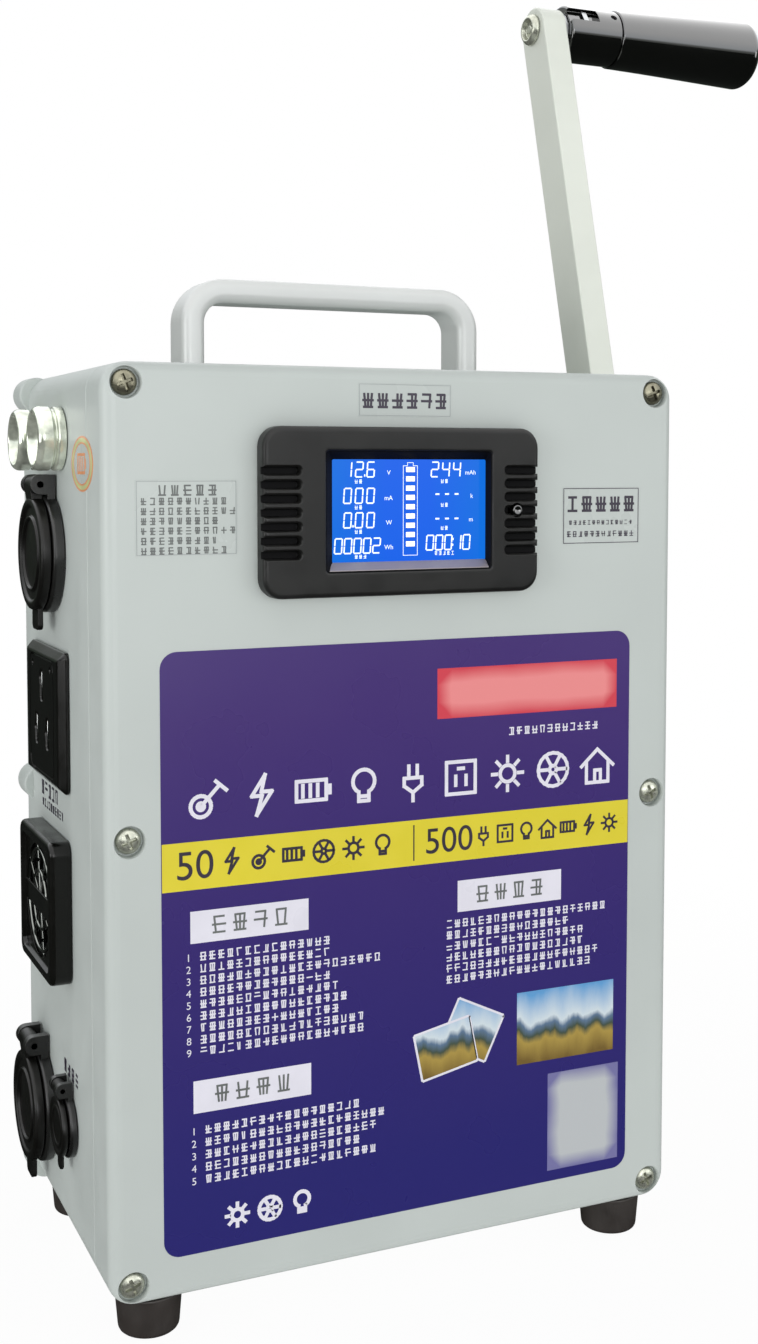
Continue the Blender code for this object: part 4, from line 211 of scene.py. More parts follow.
def eased(corners, reach, steps=5):
    """Round the corners of a line.

    Each corner becomes the curve (1-t)^2 a + 2t(1-t) corner + t^2 b, where a and b lie the reach before
    and after it, or half of the way to its neighbour where that is nearer.
    """
    corners = np.asarray(corners, float)
    reach = np.broadcast_to(np.asarray(reach, float), len(corners))[:, None]
    t = np.linspace(0.0, 1.0, steps + 1)[None, :, None]
    ends = []
    for other in (np.concatenate([corners[:1], corners[:-1]]), np.concatenate([corners[1:], corners[-1:]])):
        way = other - corners
        length = np.linalg.norm(way, axis=1, keepdims=True)
        ends.append(corners + way * np.minimum(reach / np.maximum(length, 1e-9), 0.5))
    curve = ((1 - t) ** 2 * ends[0][:, None] + 2 * t * (1 - t) * corners[:, None]
             + t ** 2 * ends[1][:, None]).reshape(-1, 2)
    new = np.linalg.norm(np.diff(curve, axis=0), axis=1) > 1e-7
    return curve[np.concatenate([[True], new])]


def turned(profile, steps=64):
    """Turn a line of (radius, level) about the outward axis: (r cos a, r sin a, level)."""
    radius, level = np.asarray(profile, float).T[:, :, None]
    angle = np.arange(steps) * math.tau / steps
    return skin(np.stack([radius * np.cos(angle), radius * np.sin(angle), level + 0 * angle], -1))


def drum(radius, low, high, steps=64):
    """Plain round block between two levels."""
    return turned([(0, low), (radius, low), (radius, high), (0, high)], steps)


def rounded_outline(width, height, radius, steps=8):
    """Rounded rectangle: each corner's centre plus the radius times (cos a, sin a) over a quarter turn."""
    angle = (np.arange(4)[:, None] * math.pi / 2 + np.linspace(0, math.pi / 2, steps + 1)).ravel()
    right = np.repeat([1, -1, -1, 1], steps + 1) * (width / 2 - radius) + radius * np.cos(angle)
    up = np.repeat([1, 1, -1, -1], steps + 1) * (height / 2 - radius) + radius * np.sin(angle)
    return np.stack([right, up], -1)


def rounded_rows(width, height, radius, profile, steps=8, centre=(0.0, 0.0)):
    """Rings of a rounded rectangle: each (inset, level) shrinks it by the inset and sets it at the level."""
    rows = [np.column_stack([rounded_outline(width - 2 * inset, height - 2 * inset,
                                             max(radius - inset, 0.0002), steps) + centre,
                             np.full(4 * (steps + 1), level)]) for inset, level in profile]
    return np.stack(rows)


def slab(outline, profile):
    """Carry an outline outwards: each (inset, level) moves it inwards along its own normals.

    The normal at a point is square to the line between its two neighbours.
    """
    outline = np.asarray(outline, float)
    along = np.roll(outline, -1, 0) - np.roll(outline, 1, 0)
    along /= np.linalg.norm(along, axis=1, keepdims=True)
    normal = np.stack([along[:, 1], -along[:, 0]], -1)
    inset, level = np.asarray(profile, float).T[:, :, None]
    flat = outline[None] - inset[..., None] * normal[None]
    return skin(np.concatenate([flat, np.broadcast_to(level[..., None], flat.shape[:2] + (1,))], -1))


def soft_slab(outline, low, high, edge):
    """Slab between two levels with both rims rounded by the edge."""
    return slab(outline, eased([(2 * edge, low), (0, low), (0, high), (2 * edge, high)], edge, 4))


def plates(outlines, low, high):
    """Closed flat plates between two levels, from outlines of one count of corners.

    Neighbours rise 0.003 mm above one another in turn, so that crossing strokes share no plane.
    """
    outlines = np.asarray(outlines, float)
    count, corners = outlines.shape[:2]
    flat = outlines.reshape(-1, 2)
    top = high + 0.000003 * (np.repeat(np.arange(count), corners) % 7)
    points = np.concatenate([np.column_stack([flat, low + 0 * top]), np.column_stack([flat, top])])
    under = np.arange(count * corners).reshape(count, corners)
    over = under + count * corners
    sides = np.stack([under, np.roll(under, -1, 1), np.roll(over, -1, 1), over], -1).reshape(-1, 4)
    return points, under[:, ::-1].tolist() + over.tolist() + sides.tolist()


def printed(parts, low, high):
    """Plates from several sets of outlines, as one shape."""
    return both(*[plates(part, low, high) for part in parts])


def boxes(left, foot, width, height):
    """Outlines of upright rectangles from arrays of their left foot corners and sizes."""
    left, foot, width, height = np.broadcast_arrays(np.atleast_1d(left), foot, width, height)
    return np.stack([np.stack([left, foot], -1), np.stack([left + width, foot], -1),
                     np.stack([left + width, foot + height], -1), np.stack([left, foot + height], -1)], -2)


def strokes(ends, width, past=0.0):
    """Outline round each line a-b: both ends moved half the width to either side and `past` beyond."""
    ends = np.asarray(ends, float)
    along = ends[:, 1] - ends[:, 0]
    along /= np.linalg.norm(along, axis=1, keepdims=True)
    aside = np.stack([-along[:, 1], along[:, 0]], -1) * width / 2
    first, last = ends[:, 0] - along * past, ends[:, 1] + along * past
    return np.stack([first - aside, last - aside, last + aside, first + aside], 1)


def line(*points):
    """Lines between neighbouring points of a polyline."""
    points = np.asarray(points, float)
    return np.stack([points[:-1], points[1:]], 1)


def round_line(right, up, radius, start=0.0, end=math.tau, steps=20):
    """Lines round an arc: centre plus the radius times (cos a, sin a)."""
    angle = np.linspace(start, end, steps + 1)
    return line(*np.stack([right + radius * np.cos(angle), up + radius * np.sin(angle)], -1))


def figures(text, size, right, up, level):
    """Plain type made a shape: the letter curves are filled, and raised 0.02 mm about the level."""
    curve = bpy.data.curves.new("type", "FONT")
    curve.body, curve.size, curve.extrude = text, size, 0.00002
    holder = bpy.data.objects.new("type", curve)
    mesh = bpy.data.meshes.new_from_object(holder)
    points = np.empty(len(mesh.vertices) * 3)
    mesh.vertices.foreach_get("co", points)
    faces = [list(face.vertices) for face in mesh.polygons]
    bpy.data.objects.remove(holder)
    bpy.data.curves.remove(curve)
    bpy.data.meshes.remove(mesh)
    return points.reshape(-1, 3) + np.array([right, up, level]), faces


def readout(text, left, foot, height, spread):
    """Strokes of seven-stroke figures, a spread of heights apart.

    Each point leans right by the slant times its height above the foot.
    """
    width, pitch, slant = 0.52 * height, spread * height, 0.07
    marks, pen = [], left
    for sign in text:
        if sign in FIGURES:
            ends = np.array([STROKES[name] for name in FIGURES[sign]], float)
            marks.append(ends * (width, height) + (pen, foot))
            pen += pitch
        else:
            shares = np.array([0.0] if sign == "." else [0.22, 0.62])
            spot = pen - (pitch - width) / 2 + 0 * shares
            marks.append(np.stack([np.stack([spot, foot + share * height], -1)
                                   for share in (shares, shares + 0.2)], 1))
    ends = np.concatenate(marks)
    ends[..., 0] += slant * (ends[..., 1] - foot)
    return strokes(ends, 0.095 * height, -0.025 * height)


def print_marks(left, foot, size, step, columns, rows=1, drop=0.0, seed=1, weight=0.15):
    """Rows of small marks that stand for print, without spelling anything.

    Mark (r, c) has its left foot corner at (left + c step, foot + r drop), and is a random pick out of
    six strokes that cross its square. A row stops after a random share of the columns.
    """
    draw = np.random.default_rng(seed)
    forms = np.array([[(0.05, 0.04), (0.95, 0.04)], [(0.0, 0.5), (1.0, 0.5)], [(0.1, 0.96), (0.9, 0.96)],
                      [(0.28, 0.0), (0.16, 1.0)], [(0.74, 0.0), (0.84, 1.0)], [(0.5, 0.0), (0.5, 1.0)]])
    keep = draw.random((rows, columns, len(forms))) < 0.7
    ends = columns * draw.uniform(0.7 if rows > 1 else 1.0, 1.0, (rows, 1, 1))
    row, column, form = np.nonzero(keep & (np.arange(columns)[None, :, None] < ends))
    corner = np.stack([left + column * step, foot + row * drop], -1)
    return strokes(forms[form] * (0.86 * size, size) + corner[:, None], weight * size)


def spin(outline, angle):
    """Turn a flat outline about its middle."""
    cosine, sine = math.cos(angle), math.sin(angle)
    return outline @ np.array([[cosine, sine], [-sine, cosine]])


def screw_shape(head, rise, shank, length, recess):
    """Pan head on a plain shank, with the tools for its cross recess.

    The head's top is the ellipse (r cos a, rise sin a) above its side.
    """
    arc = np.linspace(0, math.pi / 2, 10)
    top = np.column_stack([head * np.cos(arc), rise * (0.35 + 0.65 * np.sin(arc))])
    body = eased([(0, -length), (shank, -length), (shank, 0), (head, 0), (head, 0.2 * rise)],
                 [0, shank / 2, 0, 0.0002, 0])
    shape = turned(np.concatenate([body, top]), 40)
    arm, half, first_turn = 1.15 * recess, 0.26 * recess, 0.35
    taper = [(0.35 * half, -0.62 * rise), (0.0, 0.0), (-0.1 * half, 0.3 * rise)]
    cross = [slab(spin(rounded_outline(2 * arm, 2 * half, 0.4 * half, 2), turn), taper)
             for turn in (first_turn, first_turn + math.pi / 2)]
    return shape, [moved(part, out=rise) for part in cross]


# Pieces

def apply_change(piece, kind, **settings):
    """Give a piece a modifier, and keep the result as its mesh."""
    change = piece.modifiers.new(kind.title(), kind)
    for name, value in settings.items():
        setattr(change, name, value)
    graph = bpy.context.evaluated_depsgraph_get()
    result = bpy.data.meshes.new_from_object(piece.evaluated_get(graph), depsgraph=graph)
    before = piece.data
    piece.modifiers.clear()
    piece.data = result
    result.name = piece.name
    bpy.data.meshes.remove(before)


def mesh_object(name, shape):
    """Object from a shape, with doubled points merged and the faces turned outwards."""
    points, faces = shape
    mesh = bpy.data.meshes.new(name)
    mesh.from_pydata(points.tolist(), [], faces)
    work = bmesh.new()
    work.from_mesh(mesh)
    bmesh.ops.remove_doubles(work, verts=work.verts, dist=1e-7)
    bmesh.ops.recalc_face_normals(work, faces=work.faces)
    if work.calc_volume(signed=True) < 0:
        bmesh.ops.reverse_faces(work, faces=work.faces)
    work.to_mesh(mesh)
    work.free()
    item = bpy.data.objects.new(name, mesh)
    bpy.context.scene.collection.objects.link(item)
    return item


def combine(piece, shape, operation):
    """Add a closed shape to a piece, or take it away."""
    tool = mesh_object("tool", shape)
    apply_change(piece, "BOOLEAN", operation=operation, solver="EXACT", object=tool)
    bpy.data.meshes.remove(tool.data)


def add_piece(name, shape, finish, body, nodes=(), slot=None, cuts=(), adds=(), edge=0.0, crease=35):
    """Make a piece that rides on a body and stands for nodes of the model.

    Shapes in `adds` are joined to it and shapes in `cuts` taken away, then the edge rounds its sharp
    rims. Faces that meet at less than the crease are shaded as one surface.
    """
    piece = mesh_object(name, shape)
    for part in adds:
        combine(piece, part, "UNION")
    for part in cuts:
        combine(piece, part, "DIFFERENCE")
    if edge:
        apply_change(piece, "BEVEL", width=edge, segments=2, limit_method="ANGLE",
                     angle_limit=math.radians(crease))
    if not piece.data.polygons:
        raise RuntimeError(f"{name} came out without faces")
    piece.data.shade_smooth()
    piece.data.set_sharp_from_angle(angle=math.radians(crease))
    apply_change(piece, "WEIGHTED_NORMAL", keep_sharp=True, weight=80)
    piece.data.materials.clear()
    piece.data.materials.append(finish)
    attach(piece, body)
    if nodes:
        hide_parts(*nodes)
    return piece


def box(node):
    """Lowest and highest corners of a node of the model."""
    return [np.array(corner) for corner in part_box(node)]


def seat(node, side):
    """Middle of a node's outermost face on a side, and its size to the right, up and outwards."""
    low, high = box(node)
    axes = np.array(SIDES[side], float)
    place = (low + high) / 2 + axes[2] * (np.abs(axes[2]) @ (high - low)) / 2
    return place, np.abs(axes) @ (high - low)


# Finishes

class Nodes:
    """Shader nodes of a material or of the surroundings, added one at a time."""

    def __init__(self, tree, coordinate):
        self.tree = tree
        self.place = self.node("ShaderNodeTexCoord").outputs[coordinate]

    def feed(self, node, socket, value):
        """Join an output to a socket, or set a plain value on it."""
        if isinstance(value, bpy.types.NodeSocket):
            self.tree.links.new(value, node.inputs[socket])
        else:
            node.inputs[socket].default_value = value

    def node(self, kind, inputs=(), **settings):
        """Add a node with its settings and its inputs."""
        node = self.tree.nodes.new(kind)
        for name, value in settings.items():
            setattr(node, name, value)
        for socket, value in dict(inputs).items():
            self.feed(node, socket, value)
        return node

    def noise(self, scale, detail=2.0, stretch=(1, 1, 1)):
        """Cloudy value about one half, squeezed along an axis where the stretch is above one."""
        spot = self.node("ShaderNodeMapping", {"Vector": self.place, "Scale": stretch}).outputs[0]
        return self.node("ShaderNodeTexNoise", {"Vector": spot, "Scale": scale, "Detail": detail}).outputs[0]

    def ramp(self, value, *stops, kind="LINEAR"):
        """Colour that runs through (place, colour) stops as the value grows."""
        node = self.node("ShaderNodeValToRGB", {"Fac": value})
        node.color_ramp.interpolation = kind
        for number, (place, colour) in enumerate(stops):
            if number > 1:
                node.color_ramp.elements.new(place)
            node.color_ramp.elements[number].position = place
            node.color_ramp.elements[number].color = (*np.clip(colour, 0, 1), 1.0)
        return node.outputs[0]

    def between(self, value, low, high, out_low, out_high, kind="LINEAR"):
        """Value carried from one range to another, and held at its ends."""
        return self.node("ShaderNodeMapRange", {"Value": value, "From Min": low, "From Max": high,
                                                "To Min": out_low, "To Max": out_high},
                         interpolation_type=kind).outputs[0]

    def sum(self, first, second, operation="ADD"):
        """Two values added, multiplied or compared."""
        return self.node("ShaderNodeMath", {0: first, 1: second}, operation=operation).outputs[0]

    def axis(self, number):
        """One coordinate of the place."""
        return self.node("ShaderNodeSeparateXYZ", {"Vector": self.place}).outputs[number]


class Finish(Nodes):
    """A material with one main shader, on Object coordinates."""

    def __init__(self, name, colour, roughness, metallic=0.0, **more):
        self.material = bpy.data.materials.new(name)
        self.material.use_nodes = True
        super().__init__(self.material.node_tree, "Object")
        self.shader = self.tree.nodes["Principled BSDF"]
        self.colour = np.array(colour[:3], float)
        self.feed(self.shader, "Base Color", (*colour[:3], 1.0))
        self.feed(self.shader, "Roughness", roughness)
        self.feed(self.shader, "Metallic", metallic)
        for socket, value in more.items():
            self.feed(self.shader, socket.replace("_", " "), value)

    def mottle(self, scale, spread, detail=3.0, stretch=(1, 1, 1)):
        """Base colour lighter and darker by the spread, in soft patches."""
        shade = self.ramp(self.noise(scale, detail, stretch), (0.3, self.colour * (1 - spread)),
                          (0.7, self.colour * (1 + spread)), kind="EASE")
        self.feed(self.shader, "Base Color", shade)
        return self

    def polish(self, scale, low, high, stretch=(1, 1, 1)):
        """Roughness between low and high, in patches."""
        value = self.between(self.noise(scale, 3.0, stretch), 0.3, 0.7, low, high, "SMOOTHSTEP")
        self.feed(self.shader, "Roughness", value)
        return self

    def grain(self, scale, strength, stretch=(1, 1, 1), depth=0.00005):
        """Raised grain from a fine noise."""
        bump = self.node("ShaderNodeBump", {"Height": self.noise(scale, 2.0, stretch), "Strength": strength,
                                            "Distance": depth})
        self.feed(self.shader, "Normal", bump.outputs[0])
        return self


def make_finishes(colours):
    """All finishes by name, from the chosen colours."""
    made = {
        "case": Finish("pale grey moulding", colours.case, 0.4)
        .mottle(14, 0.025).polish(60, 0.34, 0.44).grain(2200, 0.10),
        "black": Finish("black moulding", colours.black, 0.32)
        .mottle(40, 0.12).polish(120, 0.26, 0.40).grain(3200, 0.30),
        "meter": Finish("meter moulding", colours.black, 0.38, Specular_IOR_Level=0.3).mottle(36, 0.25)
        .polish(120, 0.30, 0.48).grain(3200, 0.35),
        "matt_black": Finish("matt black moulding", tint(14, 14, 15), 0.7, Specular_IOR_Level=0.1)
        .mottle(60, 0.1).grain(3200, 0.3),
        "gloss_moulding": Finish("gloss moulding", tint(16, 16, 14), 0.22, Specular_IOR_Level=0.28)
        .mottle(40, 0.12).polish(120, 0.14, 0.26).grain(1600, 0.10),
        "glossy_black": Finish("glossy black moulding", tint(6, 6, 5), 0.1, Specular_IOR_Level=1.0,
                               Coat_Weight=1.0, Coat_Roughness=0.06)
        .mottle(60, 0.1).polish(90, 0.06, 0.12).grain(900, 0.05),
        "rubber": Finish("moulded rubber", colours.rubber, 0.4, Specular_IOR_Level=0.3)
        .mottle(80, 0.12).polish(140, 0.30, 0.46).grain(2600, 0.25),
        "gasket": Finish("foam gasket", tint(26, 26, 26), 0.8).mottle(300, 0.3).grain(1800, 0.6),
        "chrome": Finish("polished chrome", tint(226, 228, 226), 0.07, 1.0).polish(160, 0.04, 0.11)
        .grain(500, 0.03),
        # Lamp chrome: the greenish tint and its light and dark patches are painted reflections of the
        # surroundings
        "lamp_chrome": Finish("lamp chrome", tint(214, 219, 204), 0.2, 0.6).mottle(220, 0.3)
        .polish(160, 0.12, 0.22).grain(500, 0.06),
        "dark_chrome": Finish("dark chrome", tint(122, 124, 120), 0.18, 1.0).polish(300, 0.08, 0.2)
        .grain(900, 0.05),
        "foot_rubber": Finish("foot rubber", tint(50, 45, 42), 0.5).mottle(80, 0.12).polish(140, 0.4, 0.6)
        .grain(2600, 0.25),
        "zinc": Finish("dulled zinc plate", tint(126, 123, 106), 0.34, 0.85).mottle(420, 0.22)
        .polish(700, 0.24, 0.42).grain(2400, 0.2),
        "worn_steel": Finish("worn steel", tint(182, 184, 170), 0.34, 0.7).mottle(420, 0.2)
        .polish(700, 0.22, 0.42).grain(2400, 0.2),
        "steel": Finish("turned steel", tint(168, 170, 172), 0.3, 1.0).mottle(90, 0.08)
        .polish(260, 0.22, 0.38).grain(1400, 0.15, (1, 8, 1)),
        "handle": Finish("satin aluminium", tint(216, 218, 216), 0.38, 0.12).mottle(30, 0.03)
        .polish(60, 0.3, 0.42, (1, 30, 1)).grain(400, 0.12, (1, 12, 1)),
        "arm": Finish("brushed aluminium", tint(218, 222, 212), 0.38, 0.12).mottle(24, 0.03)
        .polish(50, 0.32, 0.44, (1, 24, 1)).grain(500, 0.14, (1, 12, 1)),
        "nylon": Finish("moulded nylon", tint(216, 212, 196), 0.5, Subsurface_Weight=0.08)
        .mottle(70, 0.04).grain(1500, 0.15),
        "film": Finish("shrink film", tint(35, 64, 140), 0.25).mottle(50, 0.1).polish(80, 0.18, 0.32)
        .grain(160, 0.3),
        "lens": Finish("clear lens", tint(240, 240, 232), 0.05, Transmission_Weight=0.9, IOR=1.45)
        .grain(240, 0.1),
        "figures": Finish("lit figures", tint(190, 212, 245), 0.4, Emission_Strength=0.68).mottle(300, 0.03),
        "bars": Finish("lit bars", tint(250, 246, 214), 0.4, Emission_Strength=0.8).mottle(300, 0.03),
        "sill": Finish("pale slope", tint(168, 160, 162), 0.35).mottle(90, 0.04).polish(200, 0.3, 0.4),
        "board": circuit_finish(),
        "screen": screen_finish(colours),
        "label": label_finish(colours),
        "band": Finish("yellow print", colours.band, 0.3).mottle(30, 0.03).polish(60, 0.26, 0.36),
        "plate": patch_finish("red print", RED_PLATE, tint(240, 142, 142), colours.plate),
        "white": Finish("white print", tint(232, 230, 240), 0.3).mottle(90, 0.03).polish(60, 0.26, 0.36),
        "ink": Finish("dark print", tint(52, 44, 60), 0.35).mottle(120, 0.15),
        "faint": Finish("grey print", tint(150, 154, 156), 0.4).mottle(90, 0.08),
        "sticker_grey": Finish("sticker print", tint(104, 108, 106), 0.4).mottle(90, 0.12),
        "paper": Finish("sticker", colours.case, 0.28).mottle(40, 0.02).polish(60, 0.24, 0.34),
        "orange": Finish("orange print", tint(232, 158, 112), 0.3).mottle(150, 0.08),
        "green": Finish("green print", tint(204, 208, 150), 0.3).mottle(150, 0.08),
        "code": patch_finish("grey patch", GREY_PATCH, tint(192, 196, 198), tint(120, 118, 168)),
        "scene": picture_finish(),
    }
    made["figures"].feed(made["figures"].shader, "Emission Color", (1, 1, 1, 1))
    made["bars"].feed(made["bars"].shader, "Emission Color", (*tint(250, 244, 200), 1))
    return {name: finish.material for name, finish in made.items()}


def patch_finish(name, patch, middle, rim):
    """Flat patch, (left, foot, width, height) on the lid, that fades from its middle to its soft rim."""
    finish = Finish(name, middle, 0.32)
    share = finish.between(finish.noise(90, 2.0, (0.5, 1, 1)), 0.3, 0.7, -0.12, 0.12)
    for axis, start, reach in ((0, patch[0], patch[2]), (2, patch[1], patch[3])):
        off = finish.sum(finish.sum(finish.axis(axis), start + reach / 2, "SUBTRACT"), 0.0, "ABSOLUTE")
        share = finish.sum(share, finish.between(off, reach / 2 - 0.005, reach / 2, 0.0, 1.0))
    finish.feed(finish.shader, "Base Color", finish.ramp(share, (0.1, middle), (1.0, rim)))
    return finish


def circuit_finish():
    """Green board: darker mask with pale tracks where a stepped pattern of cells meets."""
    finish = Finish("circuit board", tint(20, 80, 45), 0.35)
    cells = finish.node("ShaderNodeTexBrick", {
        "Vector": finish.place, "Scale": 220.0, "Color1": (*tint(18, 74, 42), 1),
        "Color2": (*tint(22, 86, 50), 1), "Mortar": (*tint(60, 130, 80), 1), "Mortar Size": 0.03})
    finish.feed(finish.shader, "Base Color", cells.outputs[0])
    return finish.grain(700, 0.3)


def screen_finish(colours):
    """Lit screen: deep blue in the middle, paler towards the ends, under a glossy front."""
    finish = Finish("lit screen", tint(4, 18, 54), 0.12, Emission_Strength=0.8, Specular_IOR_Level=0.2)
    off = finish.sum(finish.axis(0), 0.0, "ABSOLUTE")
    edge = finish.sum(off, finish.between(finish.noise(30, 2.0), 0.3, 0.7, -0.002, 0.002))
    glow = finish.ramp(finish.between(edge, 0.008, 0.026, 0.0, 1.0), (0.0, colours.screen),
                       (1.0, tint(20, 124, 246)))
    finish.feed(finish.shader, "Emission Color", glow)
    return finish


def label_finish(colours):
    """Printed film: purple at the top running to blue at the foot, under a clear gloss."""
    finish = Finish("label film", colours.label_top, 0.28, Coat_Weight=0.3, Coat_Roughness=0.12)
    wave = finish.between(finish.noise(12, 0.0), 0.0, 1.0, -0.006, 0.006)
    level = finish.sum(finish.axis(2), wave)
    fade = finish.ramp(finish.between(level, 0.03, 0.17, 0.0, 1.0), (0.0, colours.label_foot),
                       (1.0, colours.label_top))
    finish.feed(finish.shader, "Base Color", fade)
    return finish.polish(40, 0.27, 0.29).grain(300, 0.03)


def picture_finish():
    """Plain landscape: pale sky, a far ridge and dry ground, by height with a rough skyline."""
    finish = Finish("landscape print", tint(150, 190, 220), 0.3)
    rough = finish.between(finish.noise(150, 4.0, (1, 1, 0.2)), 0.3, 0.7, -0.0025, 0.0025)
    share = finish.between(finish.sum(finish.axis(2), rough), 0.052, 0.076, 0.0, 1.0)
    picture = finish.ramp(share, (0.0, tint(120, 96, 44)), (0.30, tint(176, 150, 70)),
                          (0.40, tint(70, 84, 70)), (0.50, tint(96, 122, 150)), (0.58, tint(214, 226, 232)),
                          (1.0, tint(96, 160, 214)))
    finish.feed(finish.shader, "Base Color", picture)
    return finish


# Operators, one for each group of pieces

class Maker:
    """What the operators share: the finishes, and how a piece is added."""
    bl_options = {"REGISTER"}
    finishes = {}

    def execute(self, context):
        """Build the pieces of this group."""
        if not Maker.finishes:
            Maker.finishes.update(make_finishes(context.scene.generator_colours))
        self.build(context.scene)
        return {"FINISHED"}

    def add(self, name, shape, finish, nodes=(), at=(), body="housing", cuts=(), adds=(), **more):
        """Make a piece of a named finish, with its shapes carried to `at`, a side and a place."""
        def carried(parts):
            return [put(part, *at) if at else part for part in parts]

        add_piece(name, *carried([shape]), Maker.finishes[finish], body, nodes, cuts=carried(cuts),
                  adds=carried(adds), **more)

    def dress(self, finish, *nodes):
        """Give nodes of the model a finish."""
        for node in nodes:
            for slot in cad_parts[node].material_slots:
                slot.material = Maker.finishes[finish]


class GENERATOR_OT_case(Maker, bpy.types.Operator):
    """Add the case, its lid and the seal between them"""
    bl_idname = "generator.case"
    bl_label = "Case and lid"

    def build(self, scene):
        """Two open boxes that meet at the seam."""
        size = scene.generator_case
        low, high = box("front_lid")
        rear_low, rear_high = box("housing_body")
        case = self.open_box(size, high - low, -rear_high[1], -rear_low[1])
        self.add_case(case, size, rear_high)
        lid = self.open_box(size, high - low, -low[1], -high[1])
        self.add_lid(lid, size, low[1])
        self.dress("gasket", "lid_gasket")

    def open_box(self, size, across, far, near):
        """Rings of a rounded rectangle, over the far end, the outside, the seam and back along the inside."""
        reach, lip, wall = 0.012, 0.0004, size.wall
        inner = far - math.copysign(wall, far)
        profile = eased([(reach, far), (0, far), (0, near), (wall, near), (wall, inner), (reach, inner)],
                        [0, 1.6 * size.edge, lip, lip, size.edge, 0])
        shell = skin(rounded_rows(across[0], across[2], size.corner, profile))
        return put(shell, "front", (0, 0, across[2] / 2))

    def add_case(self, shape, size, corner):
        """The case with its round lugs at the back rim, and the round hole behind the fan guard."""
        radius, over = size.lug / 2, 0.0001
        lug = turned(eased([(0, 0), (radius, 0), (radius, size.lug_length), (0, size.lug_length)],
                           [0, 0.0015, 0.0008, 0]), 40)
        spots = [seat(name, "front")[0] for name in LID_SCREWS]
        lugs = [put(lug, "front", (math.copysign(corner[0] - radius, spot[0]), corner[1] - over, spot[2]))
                for spot in spots]
        fan_hole, inward = 0.0185, -0.03
        hole = put(drum(fan_hole, inward, 0.002), "left", seat("fan_guard", "left")[0])
        self.add("case_moulding", shape, "case", ["housing_body"], adds=lugs, cuts=[hole])

    def add_lid(self, shape, size, front):
        """The lid, with the sunk seats of its screws and the hole for the meter."""
        radius, depth = size.counterbore / 2, size.counterbore_depth
        flare, over = 0.0012, 0.0006
        sink = turned(eased([(0, -depth), (radius, -depth), (radius, 0.0), (radius + flare, over), (0, over)],
                            [0, 0.0003, 0.0011, 0, 0]), 48)
        tools = [(sink, seat(name, "front")[0]) for name in LID_SCREWS]
        place, across = seat("meter_bezel", "front")
        flange = 0.0054
        hole = skin(rounded_rows(across[0] - flange, across[1] - flange, 0.002, [(0, -0.02), (0, 0.002)]))
        tools.append((hole, place))
        cuts = [put(tool, "front", (spot[0], front, spot[2])) for tool, spot in tools]
        self.add("lid_moulding", shape, "case", ["front_lid"], cuts=cuts)


class GENERATOR_OT_screws(Maker, bpy.types.Operator):
    """Add the cross-headed screws of the lid, the feet, the handle and the crank"""
    bl_idname = "generator.screws"
    bl_label = "Screws"

    def build(self, scene):
        """One turned shape for each kind, with a tapered cross cut into its head.

        The lid's screws below its top row get the lighter steel finish and the top row the darker zinc.
        """
        # Name, how many, side, rise of the head, radius of the shank and of the recess, and body
        kinds = (("lid_screw", 6, "front", 0.0022, 0.0018, 0.0021, "housing"),
                 ("foot_screw", 4, "bottom", 0.0025, 0.002, 0.0022, "housing"),
                 ("handle_screw", 2, "bottom", 0.0025, 0.0019, 0.0021, "housing"),
                 ("hub_screw", 0, "right", 0.0026, 0.002, 0.0030, "crank"))
        top_row = 0.2
        for kind, count, side, rise, shank, recess, body in kinds:
            for name in [f"{kind}_{number}" for number in range(1, count + 1)] or [kind]:
                place, size = seat(name, side)
                shape, cross = screw_shape(size[0] / 2, rise, shank, size[2] - rise, recess)
                # Lid screws below the top row take the lighter steel finish, the top row the darker zinc
                below_top_row = kind == "lid_screw" and place[2] < top_row
                self.add(f"{name}_turned", moved(shape, out=-rise), "worn_steel" if below_top_row else "zinc", [name],
                         (side, place), body, [moved(part, out=-rise) for part in cross])


class GENERATOR_OT_feet(Maker, bpy.types.Operator):
    """Add the four rubber feet"""
    bl_idname = "generator.feet"
    bl_label = "Feet"

    def build(self, scene):
        """A tapered turned shape with soft rims and a recess for its screw."""
        recess, depth = scene.generator_case.foot_recess / 2, scene.generator_case.foot_recess_depth
        for name in ("foot_1", "foot_2", "foot_3", "foot_4"):
            place, across = seat(name, "bottom")
            wide, tall = across[0] / 2, across[2]
            profile = eased([(0, -tall), (wide, -tall), (0.9 * wide, 0), (recess, 0), (recess, -depth),
                             (0, -depth)], [0, 0.0006, 0.0016, 0.0006, 0.0004, 0])
            self.add(f"rubber_{name}", turned(profile), "foot_rubber", [name], ("bottom", place))


